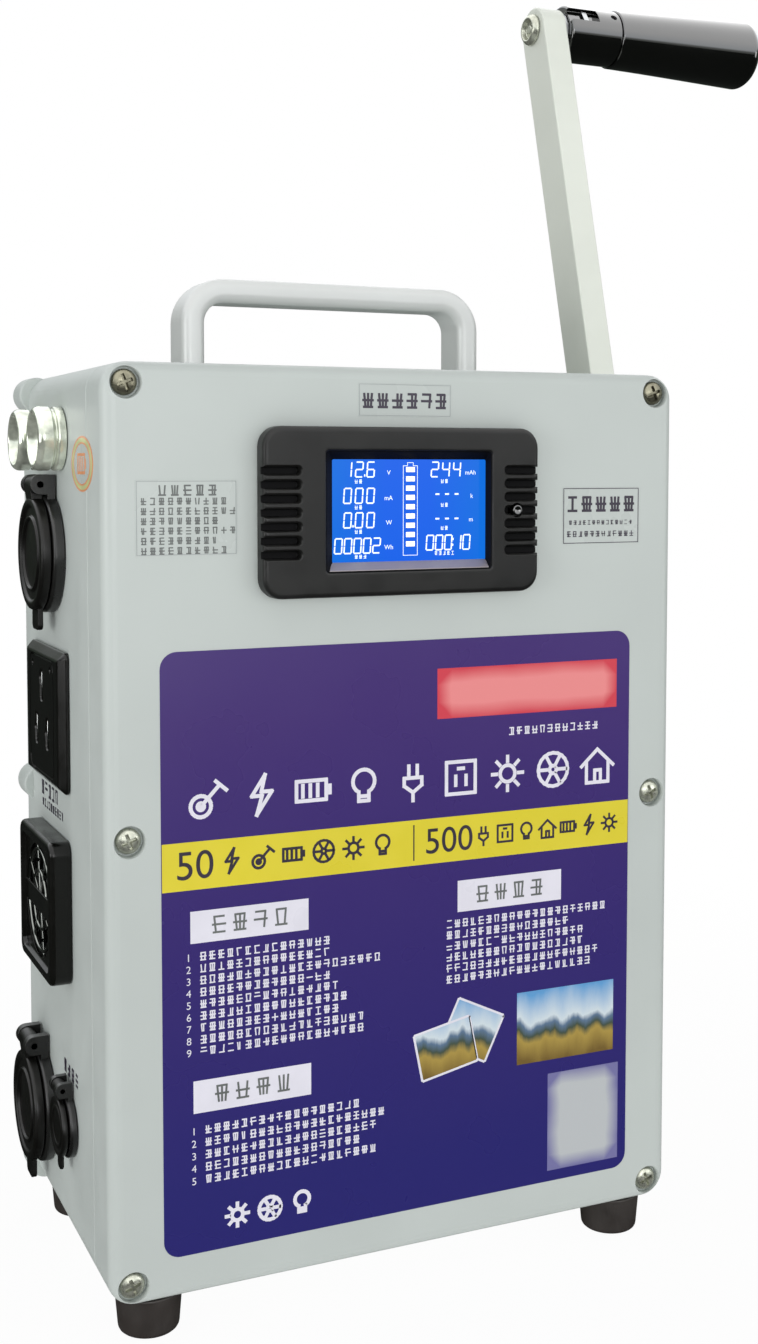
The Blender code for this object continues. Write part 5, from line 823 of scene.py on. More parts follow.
class GENERATOR_OT_handle(Maker, bpy.types.Operator):
    """Add the carry handle"""
    bl_idname = "generator.handle"
    bl_label = "Carry handle"

    def build(self, scene):
        """A rounded section carried up, over and down a bent line.

        At turn a of a bend the section stands at the bend's centre plus (R + s)(cos a, sin a), where s is
        the section's own height. The first and last rows stand on the case.
        """
        size = scene.generator_case
        low, high = box("carry_handle")
        bend, half = size.handle_bend, size.handle_bar / 2
        middle = (low[0] + high[0]) / 2
        reach = (high[0] - low[0]) / 2 - half - bend
        centre = high[2] - half - bend
        steps = 15
        quarter = np.linspace(0, math.pi / 2, steps)
        turn = np.concatenate([[0.0], quarter, quarter + math.pi / 2, [math.pi]])
        rows = np.arange(len(turn))
        side = np.where(rows <= steps, 1.0, -1.0)
        ease = np.where(np.isin(rows, [0, len(turn) - 1]), low[2] - centre, 0.0)
        section = rounded_outline(size.handle_bar, high[1] - low[1], size.handle_edge, 6)
        radius = bend + section[None, :, 0]
        bar = np.stack([middle + side[:, None] * reach + radius * np.cos(turn)[:, None],
                        section[None, :, 1] + 0 * turn[:, None],
                        centre + ease[:, None] + radius * np.sin(turn)[:, None]], -1)
        self.add("handle_bar", skin(bar), "handle", ["carry_handle"])


class GENERATOR_OT_meter(Maker, bpy.types.Operator):
    """Add the meter: its frame, lit screen, figures and button"""
    bl_idname = "generator.meter"
    bl_label = "Meter"

    def build(self, scene):
        """The window and the screen are rounded rectangles, kept as (width, height, radius)."""
        size = scene.generator_meter
        place, across = seat("meter_bezel", "front")
        screen, glass = seat("meter_lcd", "front")
        shift = (screen[0] - place[0], screen[2] - place[2])
        opening = (shift[0] - 0.0016, shift[1])
        foot = -size.proud
        window = (size.window_width, size.window_height, 0.0012)
        lit = (size.screen_width, size.screen_height, 0.0008)
        at = ("front", place)
        brink = eased([(-0.001, 0), (0, 0), (0.0002, -0.001)], [0, 0.0004, 0], 3)
        self.add_frame(size, across, at, [rounded_rows(*window, brink, centre=opening),
                                          rounded_rows(*lit, [(0, foot + 0.0013), (0, foot)], centre=shift)])
        edge = 0.0002
        panel = skin(rounded_rows(glass[0], glass[1], 0.0008, [(edge, -glass[2]), (0, -glass[2] + edge),
                                                               (0, -edge), (edge, 0)]))
        self.add("screen_glass", panel, "screen", ["meter_lcd"], ("front", screen))
        self.add_figures(("front", screen), size)
        mouth = rounded_rows(*window, [(0.0002, -0.0004), (0.0004, -0.0005)], centre=opening)
        throat = rounded_rows(*lit, [(0.0003, foot + 0.0012), (0.0001, foot + 0.0012)], centre=shift)
        self.add("window_lining", skin(np.concatenate([mouth, throat]), ring=True), "matt_black", at=at,
                 slot="black_plastic")
        self.add_sill(place, screen, size, opening)
        self.add_button()
        self.dress("board", "meter_board")

    def add_frame(self, size, across, at, inside):
        """A closed ring of rows, over the outside and back through the window, with grooves at both ends."""
        width, height = across[:2]
        outer = rounded_rows(width, height, size.corner,
                             eased([(0, -size.proud), (0, 0), (0.004, 0)], [0, 0.0016, 0], 6))
        floor, inward = -0.0022, 0.0055
        groove = skin(rounded_rows(0.023, 0.0021, 0.0009, [(0.0003, floor - 0.0004), (0, floor), (0, -0.0009),
                                                           (-0.0003, -0.0004), (-0.0008, 0.0003)], 4))
        # Matt black strips on the groove floors are painted shade, so the grooves read dark
        shade_strip = slab(rounded_outline(0.0108, 0.0019, 0.0003, 3), [(0.0001, -0.0027), (0, -0.0020)])
        levels = [(number - (size.ribs - 1) / 2) * size.rib_pitch for number in range(size.ribs)]
        ends = [(side, level) for side in (-1, 1) for level in levels]
        cuts = [moved(groove, side * width / 2, level) for side, level in ends]
        shade_strips = [moved(shade_strip, side * (width / 2 - inward), level) for side, level in ends]
        button = seat("meter_button", "front")[0]
        bore = moved(drum(0.0022, -0.01, 0.01, 32), button[0] - at[1][0])
        shape = skin(np.concatenate([outer, *inside]), ring=True)
        self.add("meter_frame", shape, "meter", ["meter_bezel"], at, cuts=[*cuts, bore], edge=0.00032)
        # Painted shade: dark strips at the foot of each groove
        self.add("groove_floors", both(*shade_strips), "matt_black", at=at, cuts=[bore], slot="black_plastic")

    def add_sill(self, place, screen, size, opening):
        """Pale slope from the window's foot back to the screen's."""
        low_front = place[2] + opening[1] - size.window_height / 2 + 0.0005
        low_back = screen[2] - size.screen_height / 2 + 0.0003
        front, back = place[1] + 0.0003, screen[1] - 0.0002
        wide, narrow = size.window_width / 2 - 0.0012, size.screen_width / 2 - 0.0002
        middle = place[0] + opening[0]
        slope = np.array([[(middle - wide, front, low_front), (middle + wide, front, low_front),
                           (screen[0] + narrow, back, low_back), (screen[0] - narrow, back, low_back)]])
        self.add("screen_sill", skin(np.concatenate([slope, slope + (0, 0, 0.0002)])), "sill",
                 slot="black_plastic")

    def add_button(self):
        """A turned stem with a slightly hollow top, on a round plate."""
        button, cap = seat("meter_button", "front")
        radius, stem, foot = cap[0] / 2, 0.0016, -cap[2]
        plate = foot + 0.001
        profile = eased([(0, foot), (radius, foot), (radius, plate), (stem, plate), (stem, 0), (0.0009, 0),
                         (0, -0.0003)], [0, 0.0002, 0.0001, 0.0001, 0.0004, 0.0003, 0])
        self.add("button_cap", turned(profile, 40), "glossy_black", ["meter_button"], ("front", button),
                 "button")

    def add_figures(self, at, size):
        """White figures, dashes, a row of charge bars and their outline, just proud of the glass."""
        width, height = size.screen_width, size.screen_height
        tall, low, high = 0.0044, 0.00001, 0.00004

        def spot(left, foot):
            return (left - 0.5) * width, (0.5 - foot) * height

        # Places are shares of the screen from its left and from its top
        marks = [readout(text, *spot(left, foot), tall, spread) for text, left, foot, spread in (
            ("12.6", 0.080, 0.176, 0.84), ("000", 0.078, 0.425, 0.84), ("0.00", 0.078, 0.657, 0.84),
            ("00002", 0.020, 0.900, 0.70), ("244", 0.636, 0.176, 0.84), ("000:10", 0.604, 0.884, 0.70))]
        dashes = np.array([0.665, 0.728, 0.791])
        marks += [boxes(*spot(dashes, foot), 0.0013, 0.0005) for foot in (0.352, 0.590)]
        edge = spot(np.array([0.456, 0.547, 0.547, 0.52, 0.52, 0.483, 0.483, 0.456, 0.456]),
                    np.array([0.93, 0.93, 0.07, 0.07, 0.04, 0.04, 0.07, 0.07, 0.93]))
        marks.append(strokes(line(*np.stack(edge, -1)), 0.00016, 0.00008))
        for left, foot, columns in ((0.148, 0.236, 2), (0.148, 0.482, 2), (0.148, 0.713, 2),
                                    (0.148, 0.950, 3), (0.70, 0.236, 2), (0.70, 0.466, 2),
                                    (0.70, 0.690, 2), (0.66, 0.934, 5)):
            marks.append(print_marks(*spot(left, foot), 0.0011, 0.0014, columns, seed=columns, weight=0.14))
        units = [figures(text, 0.0019, *spot(left, foot), 0.00002) for text, left, foot in (
            ("V", 0.352, 0.155), ("mA", 0.335, 0.397), ("W", 0.345, 0.632), ("Wh", 0.335, 0.868),
            ("mAh", 0.86, 0.155), ("k", 0.895, 0.383), ("m", 0.885, 0.612))]
        self.add("screen_figures", both(printed(marks, low, high), *units), "figures", at=at,
                 slot="screen_glass")
        left, steps = spot(0.474, 0.13 + np.arange(9) * 0.0893)
        self.add("screen_bars", plates(boxes(left, steps, 0.0029, 0.0015), low, high), "bars", at=at,
                 slot="screen_glass")


def pictograms():
    """Plain line drawings on a unit square, by name."""
    ray, spoke = (np.stack([np.cos(turn), np.sin(turn)], -1)
                  for turn in (np.arange(8) * math.pi / 4, np.arange(6) * math.pi / 3))
    drawings = {
        "crank": [round_line(0.32, 0.34, 0.26), round_line(0.32, 0.34, 0.08), line((0.32, 0.34), (0.8, 0.84)),
                  line((0.7, 0.94), (0.98, 0.7))],
        "bolt": [line((0.6, 1.0), (0.25, 0.48), (0.52, 0.48), (0.38, 0.0), (0.78, 0.58), (0.5, 0.58),
                      (0.6, 1.0))],
        "battery": [line((0.05, 0.25), (0.85, 0.25), (0.85, 0.75), (0.05, 0.75), (0.05, 0.25)),
                    line((0.95, 0.4), (0.95, 0.6)), line((0.22, 0.35), (0.22, 0.65)),
                    line((0.42, 0.35), (0.42, 0.65)), line((0.62, 0.35), (0.62, 0.65))],
        "lamp": [round_line(0.5, 0.62, 0.3, -1.05, 4.19),
                 line((0.36, 0.36), (0.36, 0.12), (0.64, 0.12), (0.64, 0.36)),
                 line((0.36, 0.24), (0.64, 0.24))],
        "plug": [line((0.25, 0.6), (0.75, 0.6), (0.75, 0.4), (0.5, 0.22), (0.25, 0.4), (0.25, 0.6)),
                 line((0.38, 0.6), (0.38, 0.92)), line((0.62, 0.6), (0.62, 0.92)),
                 line((0.5, 0.22), (0.5, 0.0))],
        "outlet": [line((0.08, 0.08), (0.92, 0.08), (0.92, 0.92), (0.08, 0.92), (0.08, 0.08)),
                   line((0.35, 0.3), (0.35, 0.55)), line((0.65, 0.3), (0.65, 0.55)),
                   line((0.42, 0.74), (0.58, 0.74))],
        "sun": [round_line(0.5, 0.5, 0.22), np.stack([0.5 + 0.32 * ray, 0.5 + 0.46 * ray], 1)],
        "fan": [round_line(0.5, 0.5, 0.45), round_line(0.5, 0.5, 0.1),
                np.stack([0.5 + 0.1 * spoke, 0.5 + 0.4 * spoke], 1)],
        "house": [line((0.0, 0.5), (0.5, 0.95), (1.0, 0.5)),
                  line((0.16, 0.58), (0.16, 0.05), (0.84, 0.05), (0.84, 0.58)),
                  line((0.42, 0.05), (0.42, 0.38), (0.6, 0.38), (0.6, 0.05))],
    }
    return {name: np.concatenate(lines) for name, lines in drawings.items()}


def icon_row(names, left, foot, size, step, weight):
    """Strokes of named pictograms side by side."""
    icons = pictograms()
    return [strokes(icons[name] * size + (left + number * step, foot), weight, 0.4 * weight)
            for number, name in enumerate(names)]


class GENERATOR_OT_label(Maker, bpy.types.Operator):
    """Add the label with its band, plates, pictures and rows of small marks, and the stickers"""
    bl_idname = "generator.label"
    bl_label = "Label and stickers"

    def build(self, scene):
        """Thin plates on the lid: a place on it is (X, Z), and the level is the height above it."""
        film, ink = 0.00012, 0.00016
        over = ink + 0.00004
        low = film / 2
        sheet = skin(rounded_rows(0.1562, 0.1765, 0.005, [(0, 0), (0, film - 0.00004), (0.00004, film)]))
        self.lay("label_sheet", moved(sheet, 0, 0.10075), "label")
        self.lay("label_band", plates(boxes(-0.0779, 0.120, 0.1558, 0.014), low, ink), "band")
        self.lay("label_plate", plates(boxes(*RED_PLATE), low, ink), "plate")
        heads = [(-0.0696, 0.1043, 0.0365, 0.0094), (-0.069, 0.0542, 0.0366, 0.0096),
                 (0.0164, 0.1039, 0.0368, 0.0098)]
        self.lay("label_headings", printed([boxes(*head) for head in heads], low, ink), "white")
        self.lay("label_print", self.white_print(ink), "white")
        self.lay("label_dark_print", self.dark_print(over), "ink")
        marks = [print_marks(left + 0.0065, foot + 0.0024, 0.0050, 0.0064, 4, seed=number + 30, weight=0.12)
                 for number, (left, foot, *_) in enumerate(heads)]
        self.lay("label_heading_print", printed(marks, 0.00008, over), "sticker_grey")
        self.lay("label_patch", plates(boxes(*GREY_PATCH), low, ink), "code")
        tilted = spin(rounded_outline(0.0195, 0.015, 0.0004, 1), 0.2) + (0.0125, 0.0615)
        leaning = spin(rounded_outline(0.0175, 0.0155, 0.0004, 1), -0.45) + (0.0215, 0.066)
        self.lay("label_pictures", both(plates(boxes(0.0375, 0.0523, 0.0355, 0.0232), low, ink),
                                        plates([leaning], low, ink), plates([tilted], low, over)), "scene")
        rims = [strokes(line(*shape, shape[0]), 0.0007, 0.0003) for shape in (leaning, tilted)]
        self.lay("label_picture_rims", both(*[plates(rim, low, ink + 0.00002 * (number + 1))
                                              for number, rim in enumerate(rims)]), "white")
        self.add_stickers(ink)
        self.add_wall_print()

    def lay(self, name, shape, finish):
        """Put a thin shape on the lid."""
        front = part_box("front_lid")[0][1]
        self.add(name, shape, finish, at=("front", (0, front, 0)), slot="housing_grey")

    def white_print(self, ink):
        """Pictograms in place of the title and at the foot, and numbered rows of small marks."""
        parts = icon_row(pictograms(), -0.0700, 0.1400, 0.0118, 0.0163, 0.00115)
        parts += icon_row(("sun", "fan", "lamp"), -0.0596, 0.0180, 0.0076, 0.0102, 0.0011)
        numbers = []
        size, step, aside, back = 0.0023, 0.00275, 0.0042, ink - 0.00002
        for left, foot, columns, rows, drop, numbered in (
                (-0.0668, 0.0712, 21, 9, 0.00350, True), (-0.0655, 0.0331, 22, 5, 0.00370, True),
                (0.0126, 0.0819, 22, 6, 0.00348, False), (0.0341, 0.1580, 12, 1, 0.0, False)):
            parts.append(print_marks(left, foot, size, step, columns, rows, drop, seed=rows, weight=0.17))
            if numbered:
                numbers += [figures(f"{rows - row}", 0.0031, left - aside, foot + row * drop, back)
                            for row in range(rows)]
        return both(printed(parts, 0.00006, ink), *numbers)

    def dark_print(self, ink):
        """Two plain numbers with pictograms beside them on the band."""
        parts = [boxes(0.0012, 0.1215, 0.0004, 0.011)]
        parts += icon_row(("bolt", "crank", "battery", "fan", "sun", "lamp"),
                          -0.0606, 0.1238, 0.0072, 0.0096, 0.0008)
        parts += icon_row(("plug", "outlet", "lamp", "house", "battery", "bolt", "sun"),
                          0.0222, 0.1240, 0.0062, 0.0076, 0.0007)
        foot, back = 0.1232, ink - 0.00002
        numbers = [figures("50", 0.0118, -0.0740, foot, back), figures("500", 0.0112, 0.0050, foot, back)]
        return both(printed(parts, 0.00008, ink), *numbers)

    def add_stickers(self, ink):
        """Three pale stickers with thin rims and rows of small marks."""
        inset = 0.0004
        # Name, left, foot, width, height, and the rim's width and finish
        for name, left, foot, width, height, edge, rim_finish in (
                ("top", -0.0169, 0.2563, 0.0307, 0.0100, 0.00012, "faint"),
                ("left", -0.0848, 0.2162, 0.0301, 0.0216, 0.00012, "faint"),
                ("right", 0.0529, 0.2170, 0.0283, 0.0180, 0.00022, "ink")):
            self.lay(f"sticker_{name}", plates(boxes(left, foot, width, height), 0.0, 0.0001), "paper")
            corners = boxes(left + inset, foot + inset, width - 2 * inset, height - 2 * inset)[0]
            rim = strokes(line(*corners, corners[0]), edge, edge / 2)
            self.lay(f"sticker_{name}_rim", plates(rim, 0.00004, ink), rim_finish)
        dark = [print_marks(-0.0156, 0.2590, 0.0043, 0.0048, 6, seed=3, weight=0.17),
                print_marks(0.0545, 0.2274, 0.0046, 0.0052, 5, seed=8, weight=0.17),
                print_marks(0.0552, 0.2232, 0.0013, 0.0017, 14, seed=5),
                print_marks(0.0545, 0.2194, 0.0017, 0.0021, 12, seed=6)]
        grey = [print_marks(-0.0782, 0.2334, 0.0029, 0.0037, 5, seed=7, weight=0.16),
                print_marks(-0.0832, 0.2168, 0.0019, 0.00262, 11, 6, 0.0028, seed=2, weight=0.17)]
        self.lay("sticker_dark_print", printed(dark, 0.00004, ink), "ink")
        self.lay("sticker_grey_print", printed(grey, 0.00004, ink), "sticker_grey")

    def add_wall_print(self):
        """On the left wall: an oval sticker with a battery drawn on it, and three rows of marks."""
        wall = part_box("front_lid")[0][0]
        oval = ("left", (wall, -0.0309, 0.2423))
        angle = np.arange(48) * math.tau / 48
        ring = np.stack([0.0130 * np.cos(angle), 0.0081 * np.sin(angle)], -1)
        pieces = []
        for number, (finish, share) in enumerate((("orange", 1.0), ("green", 0.93), ("orange", 0.78),
                                                  ("paper", 0.72))):
            layer = plates([share * ring], 0.0, 0.0001 + 0.00002 * number)
            pieces.append((f"oval_sticker_{number + 1}", layer, finish, oval))
        size = 0.0105
        battery = strokes(pictograms()["battery"] * size - (0.0052, 0.0052), 0.0009, 0.0004)
        pieces.append(("oval_sticker_print", plates(battery, 0.0001, 0.00018), "orange", oval))
        marks = [print_marks(-0.0170, 0.0012, 0.0042, 0.0049, 5, seed=15, weight=0.19),
                 print_marks(-0.0160, -0.0026, 0.0024, 0.0030, 10, seed=10, weight=0.24),
                 print_marks(0.0110, -0.0816, 0.0036, 0.0050, 4, seed=12, weight=0.24)]
        pieces.append(("wall_print", printed(marks, 0.0, 0.00005), "ink", ("left", (wall, 0.0120, 0.1340))))
        for name, shape, finish, at in pieces:
            self.add(name, shape, finish, at=at, slot="housing_grey")


class GENERATOR_OT_lamps(Maker, bpy.types.Operator):
    """Add the two chrome lamps"""
    bl_idname = "generator.lamps"
    bl_label = "Lamps"

    def build(self, scene):
        """Stepped cups turned about their own axes, with a domed lens in each."""
        for number in (1, 2):
            cup, lens = f"lamp_housing_{number}", f"lamp_lens_{number}"
            place, across = seat(cup, "left")
            wide, deep = across[0] / 2, across[2]
            base, neck = -0.0088, wide - 0.0008
            profile = eased([(0.0025, -deep), (0.006, -deep), (0.006, base + 0.0003), (wide, base + 0.0003),
                             (wide, base + 0.0026), (neck, base + 0.003), (neck, base + 0.0036),
                             (wide, base + 0.004), (wide, -0.0012), (wide - 0.0010, 0), (0.0079, 0),
                             (0.0072, -0.0018), (0.0047, -0.0060), (0.0025, -0.0060)],
                            [0, 0.0005, 0, 0.0003, 0.0004, 0.0002, 0.0002, 0.0004, 0.0008, 0.0005, 0.0006,
                             0.002, 0.0006, 0])
            self.add(f"lamp_cup_{number}", turned(profile, 72), "lamp_chrome", [cup], ("left", place),
                     crease=50)
            spot, size = seat(lens, "left")
            radius, arc, tall = size[0] / 2, np.linspace(0, math.pi / 2, 12), 0.0032
            dome = np.column_stack([radius * np.cos(arc), -tall + tall * np.sin(arc)])
            stem = [(0, -size[2]), (0.0022, -size[2]), (0.0022, -0.0034), (radius - 0.0002, -0.0034)]
            self.add(f"lamp_dome_{number}", turned(np.concatenate([stem, dome]), 48), "lens", [lens],
                     ("left", spot))
        self.dress("steel", "lamp_nut_1", "lamp_nut_2")


class Fitting:
    """Sizes of a round covered socket, read from the model and from the chosen radii."""

    # Metres, for a large socket and for the small one
    SIZES = {"thick": (0.0038, 0.0026), "cap": (0.0034, 0.0020), "rim": (0.0028, 0.0016),
             "dish": (0.0010, 0.0005), "knuckle": (0.0031, 0.0023), "knuckle_width": (0.0080, 0.0044),
             "ear": (0.0030, 0.0020), "barrel": (0.0140, 0.0065), "tab_width": (0.0085, 0.0050),
             "tab_length": (0.0062, 0.0044)}

    def __init__(self, name, flange, cover, small):
        low, high = box(f"{name}_socket")
        pin_low, pin_high = box(f"{name}_hinge_pin")
        wall = box("front_lid")[0][0]
        self.name, self.flange, self.cover = name, flange, cover
        self.place = (wall, (low[1] + high[1]) / 2, low[2] + flange)
        self.depth = high[0] - wall
        self.rise = (pin_low[2] + pin_high[2]) / 2 - self.place[2]
        self.stand = wall - (pin_low[0] + pin_high[0]) / 2
        for part, sizes in self.SIZES.items():
            setattr(self, part, sizes[small])

    def round_pin(self, radius, start, end, steps):
        """Points (height, way out) on an arc about the hinge pin."""
        angle = np.linspace(start, end, steps)
        return np.stack([self.rise + radius * np.cos(angle), self.stand + radius * np.sin(angle)], -1)

    def ears(self):
        """Two rounded ears beside the cover's knuckle: a foot on the flange and an arc round the pin."""
        radius, foot, level = self.knuckle, self.flange - self.knuckle, 0.8 * self.thick
        outline = np.concatenate([[(foot, 0.0006), (self.rise + radius, 0.0006)],
                                  self.round_pin(radius, 0, math.pi, 13),
                                  [(self.rise - radius, level), (foot, level)]])
        off = (self.knuckle_width + self.ear) / 2 + 0.0003
        ear = crosswise(soft_slab(outline, -self.ear / 2, self.ear / 2, 0.00012))
        return [moved(ear, side * off) for side in (-1, 1)]

    def shell(self, bore):
        """Flange and barrel turned as one, down into the bore given as (radius, level) points."""
        thick, back = self.thick, 0.0003
        outside = [(0, -self.depth), (self.barrel, -self.depth), (self.barrel, back), (self.flange, back),
                   (self.flange, thick), (bore[0][0] + 0.0008, thick)]
        reach = [0, 0.0006, 0, 0.0003, 0.0011, 0.0004] + [0.0003] * (len(bore) - 1) + [0]
        return turned(eased(outside + bore, reach), 72)

    def lid(self, plug, plug_depth):
        """Cover: a plug behind, a raised rim, a dished face with a low ring, its arm and its finger tab."""
        base = self.thick + 0.0003
        face = base + self.cap
        inner = self.cover - self.rim
        tip = self.thick - plug_depth
        ring = 0.64 * self.cover
        crest = face - 0.0001
        low = face - 0.9 * self.dish
        profile = eased([(0, tip), (plug, tip), (plug, base), (self.cover, base), (self.cover, face),
                         (inner + 0.0004, face), (inner - 0.0004, low), (ring + 0.0007, low),
                         (ring + 0.0003, crest), (ring - 0.0003, crest), (ring - 0.0007, low), (0, low)],
                        [0, plug / 12, 0, 0.0006, 0.0014, 0.0005, 0.0003, 0.0002, 0.0002, 0.0002, 0.0002, 0],
                        4)
        head = self.round_pin(self.knuckle - 0.0003, math.pi + 0.6, math.tau + math.pi / 2, 17)
        outline = np.concatenate([[(inner, base + 0.0003)], head, [(inner, face - 0.0005)]])
        half = self.knuckle_width / 2
        arm = crosswise(soft_slab(outline, -half, half, 0.00015))
        tab = soft_slab(rounded_outline(self.tab_width, 2 * self.tab_length, 0.0018, 5), base,
                        base + self.cap / 2, 0.0003)
        reach = self.cover + self.tab_length
        return turned(profile, 72), [arm, moved(tab, up=-reach + self.tab_length)]


class GENERATOR_OT_sockets(Maker, bpy.types.Operator):
    """Add the three covered sockets"""
    bl_idname = "generator.sockets"
    bl_label = "Covered sockets"

    def build(self, scene):
        """Turned shells with their hinge ears, and turned covers that ride on their own hinges."""
        size = scene.generator_sockets
        power = Fitting("power", size.flange, size.cover, False)
        floor = power.thick - 0.034
        deep = [(size.bore, power.thick), (size.bore, floor), (0.0025, floor), (0.0025, floor + 0.004),
                (0, floor + 0.004)]
        self.add_socket(power, deep, [], 0.0099, 0.004)
        charging = Fitting("usb", size.flange, size.cover, False)
        face = charging.thick - 0.0032
        port = slab(rounded_outline(0.0132, 0.0058, 0.0006, 3), [(0, face - 0.013), (0, face + 0.001)])
        shallow = [(0.0135, charging.thick), (0.0135, face), (0, face)]
        ports = [moved(port, up=level) for level in (-0.00525, 0.00525)]
        self.add_socket(charging, shallow, ports, 0.0126, 0.0018)
        jack = Fitting("jack", size.jack_flange, size.jack_cover, True)
        floor = jack.thick - 0.014
        narrow = [(0.0042, jack.thick), (0.0042, floor), (0.0012, floor), (0.0012, floor + 0.010),
                  (0, floor + 0.010)]
        self.add_socket(jack, narrow, [], 0.0036, 0.0024)
        self.dress("steel", "power_hinge_pin", "usb_hinge_pin", "jack_hinge_pin")

    def add_socket(self, fitting, bore, ports, plug, plug_depth):
        """One socket with its cover."""
        name, at = fitting.name, ("left", fitting.place)
        self.add(f"{name}_shell", fitting.shell(bore), "black", [f"{name}_socket"], at, adds=fitting.ears(),
                 cuts=ports)
        cover, extras = fitting.lid(plug, plug_depth)
        self.add(f"{name}_flap", cover, "rubber", [f"{name}_cover"], at, f"{name}_cap", adds=extras)


class GENERATOR_OT_outlet(Maker, bpy.types.Operator):
    """Add the mains outlet"""
    bl_idname = "generator.outlet"
    bl_label = "Mains outlet"

    def build(self, scene):
        """Bevelled plate on a box that goes through the wall, with three slots cut into its face."""
        place, across = seat("mains_outlet", "left")
        bevel, deep = scene.generator_sockets.outlet_bevel, across[2]
        wall = -0.0035
        profile = eased([(0.008, -deep), (0.004, -deep), (0.004, wall + 0.0003), (0, wall + 0.0003),
                         (0, wall + 0.0012), (bevel, 0), (bevel + 0.004, 0)],
                        [0, 0.0004, 0, 0.0002, 0.0005, 0.0006, 0])
        plate = skin(rounded_rows(across[0], across[1], 0.002, profile))
        slot = slab(rounded_outline(0.0036, 0.010, 0.0012, 5), [(0, -0.014), (0, -0.0004), (-0.0004, 0.0001)])
        hole = turned([(0, -0.0142), (0.0026, -0.0142), (0.0026, -0.0006), (0.0032, 0.0001), (0, 0.0001)], 32)
        aside, low, high = 0.0075, -0.005, 0.0095
        cuts = [moved(part, side * aside, low) for side in (-1, 1) for part in (slot, hole)]
        cuts += [moved(slot, 0, high), moved(hole, 0, 0.0118)]
        cuts.append(skin(np.concatenate([rounded_rows(0.034, 0.0375, 0.004, [(0, 0.0002), (0, -0.0005)]),
                                         rounded_rows(0.0325, 0.036, 0.003, [(0, -0.0005), (0, 0.0002)])]),
                         ring=True))
        cuts += [moved(drum(0.0011, -0.0006, 0.0002, 24), side * 0.0125, 0.0155) for side in (-1, 1)]
        self.add("outlet_plate", plate, "gloss_moulding", ["mains_outlet"], ("left", place), cuts=cuts,
                 edge=0.00018)
        blade = soft_slab(rounded_outline(0.0008, 0.0080, 0.0003, 2), -0.012, -0.00035, 0.0001)
        blades = [moved(blade, middle + edge, level)
                  for middle, level in ((-aside, low), (aside, low), (0, high))
                  for edge in (-0.0012, 0.0012)]
        self.add("outlet_contacts", both(*blades), "chrome", at=("left", place), slot="steel")


def wire_ring(radius, wire, steps=96):
    """Ring of round wire: at turn a about the axis and b about the wire, the place is
    ((R + w cos b) cos a, (R + w cos b) sin a, w sin b)."""
    turn = np.arange(14)[:, None] * math.tau / 14
    angle = np.arange(steps)[None] * math.tau / steps
    reach = radius + wire * np.cos(turn)
    return skin(np.stack([reach * np.cos(angle), reach * np.sin(angle), wire * np.sin(turn) + 0 * angle], -1),
                ring=True)


class GENERATOR_OT_fan(Maker, bpy.types.Operator):
    """Add the fan guard, and finish the fan behind it"""
    bl_idname = "generator.fan"
    bl_label = "Fan and guard"

    def build(self, scene):
        """A soft-edged block with a sunk mouth and a bore, and a grille and a flat dark bar in its mouth; the
        bar is painted shade across the grille's middle.

        The grille is a hub, rings of round wire and eight arms: four bars through the middle.
        """
        size = scene.generator_sockets
        place, across = seat("fan_guard", "left")
        at, deep = ("left", place), across[2]
        profile = eased([(0.004, -deep), (0, -deep), (0, 0), (0.004, 0)], [0, 0.0003, 0.0018, 0], 6)
        block = skin(rounded_rows(across[0], across[1], size.guard_corner, profile))
        mouth, sunk, back, wire = across[0] - 0.006, -0.0014, -0.0040, 0.0006
        over, wide, bore = 0.001, 0.019, 0.0179
        dip = [(0.0012, sunk), (0.0009, sunk + 0.0003), (0, over)]
        cuts = [skin(rounded_rows(mouth, mouth, 0.003, dip, 6)),
                turned([(0, -deep - over), (wide, -deep - over), (wide, back), (bore, back), (bore, over),
                        (0, over)], 96)]
        self.add("guard_moulding", block, "gloss_moulding", ["fan_guard"], at, cuts=cuts, edge=0.0003)
        middle = sunk - wire
        hub = turned(eased([(0, back), (0.0067, back), (0.0071, sunk), (0, sunk + 0.0003)],
                           [0, 0.0004, 0.001, 0]))
        arm = soft_slab(rounded_outline(0.0365, 0.0022, 0.0005, 3), middle - wire, middle + 0.6 * wire,
                        0.0003)
        lean, first_ring, ring_pitch = 0.2, 0.0092, 0.0034
        parts = [spun(arm, turn) for turn in np.arange(4) * math.pi / 4 + lean]
        parts += [moved(wire_ring(first_ring + ring_pitch * number, wire), out=middle)
                  for number in range(size.guard_rings)]
        self.add("guard_grille", hub, "dark_chrome", at=at, adds=parts, slot="black_plastic")
        # Dark bar across the grille's middle: painted shade for the band where the rings catch no light
        bar = soft_slab(rounded_outline(0.0368, 0.0064, 0.0012, 3), middle - wire, sunk + 0.0003, 0.0004)
        self.add("guard_bar", bar, "gloss_moulding", at=at, slot="black_plastic")
        self.dress("black", "fan_frame", "fan_rotor")


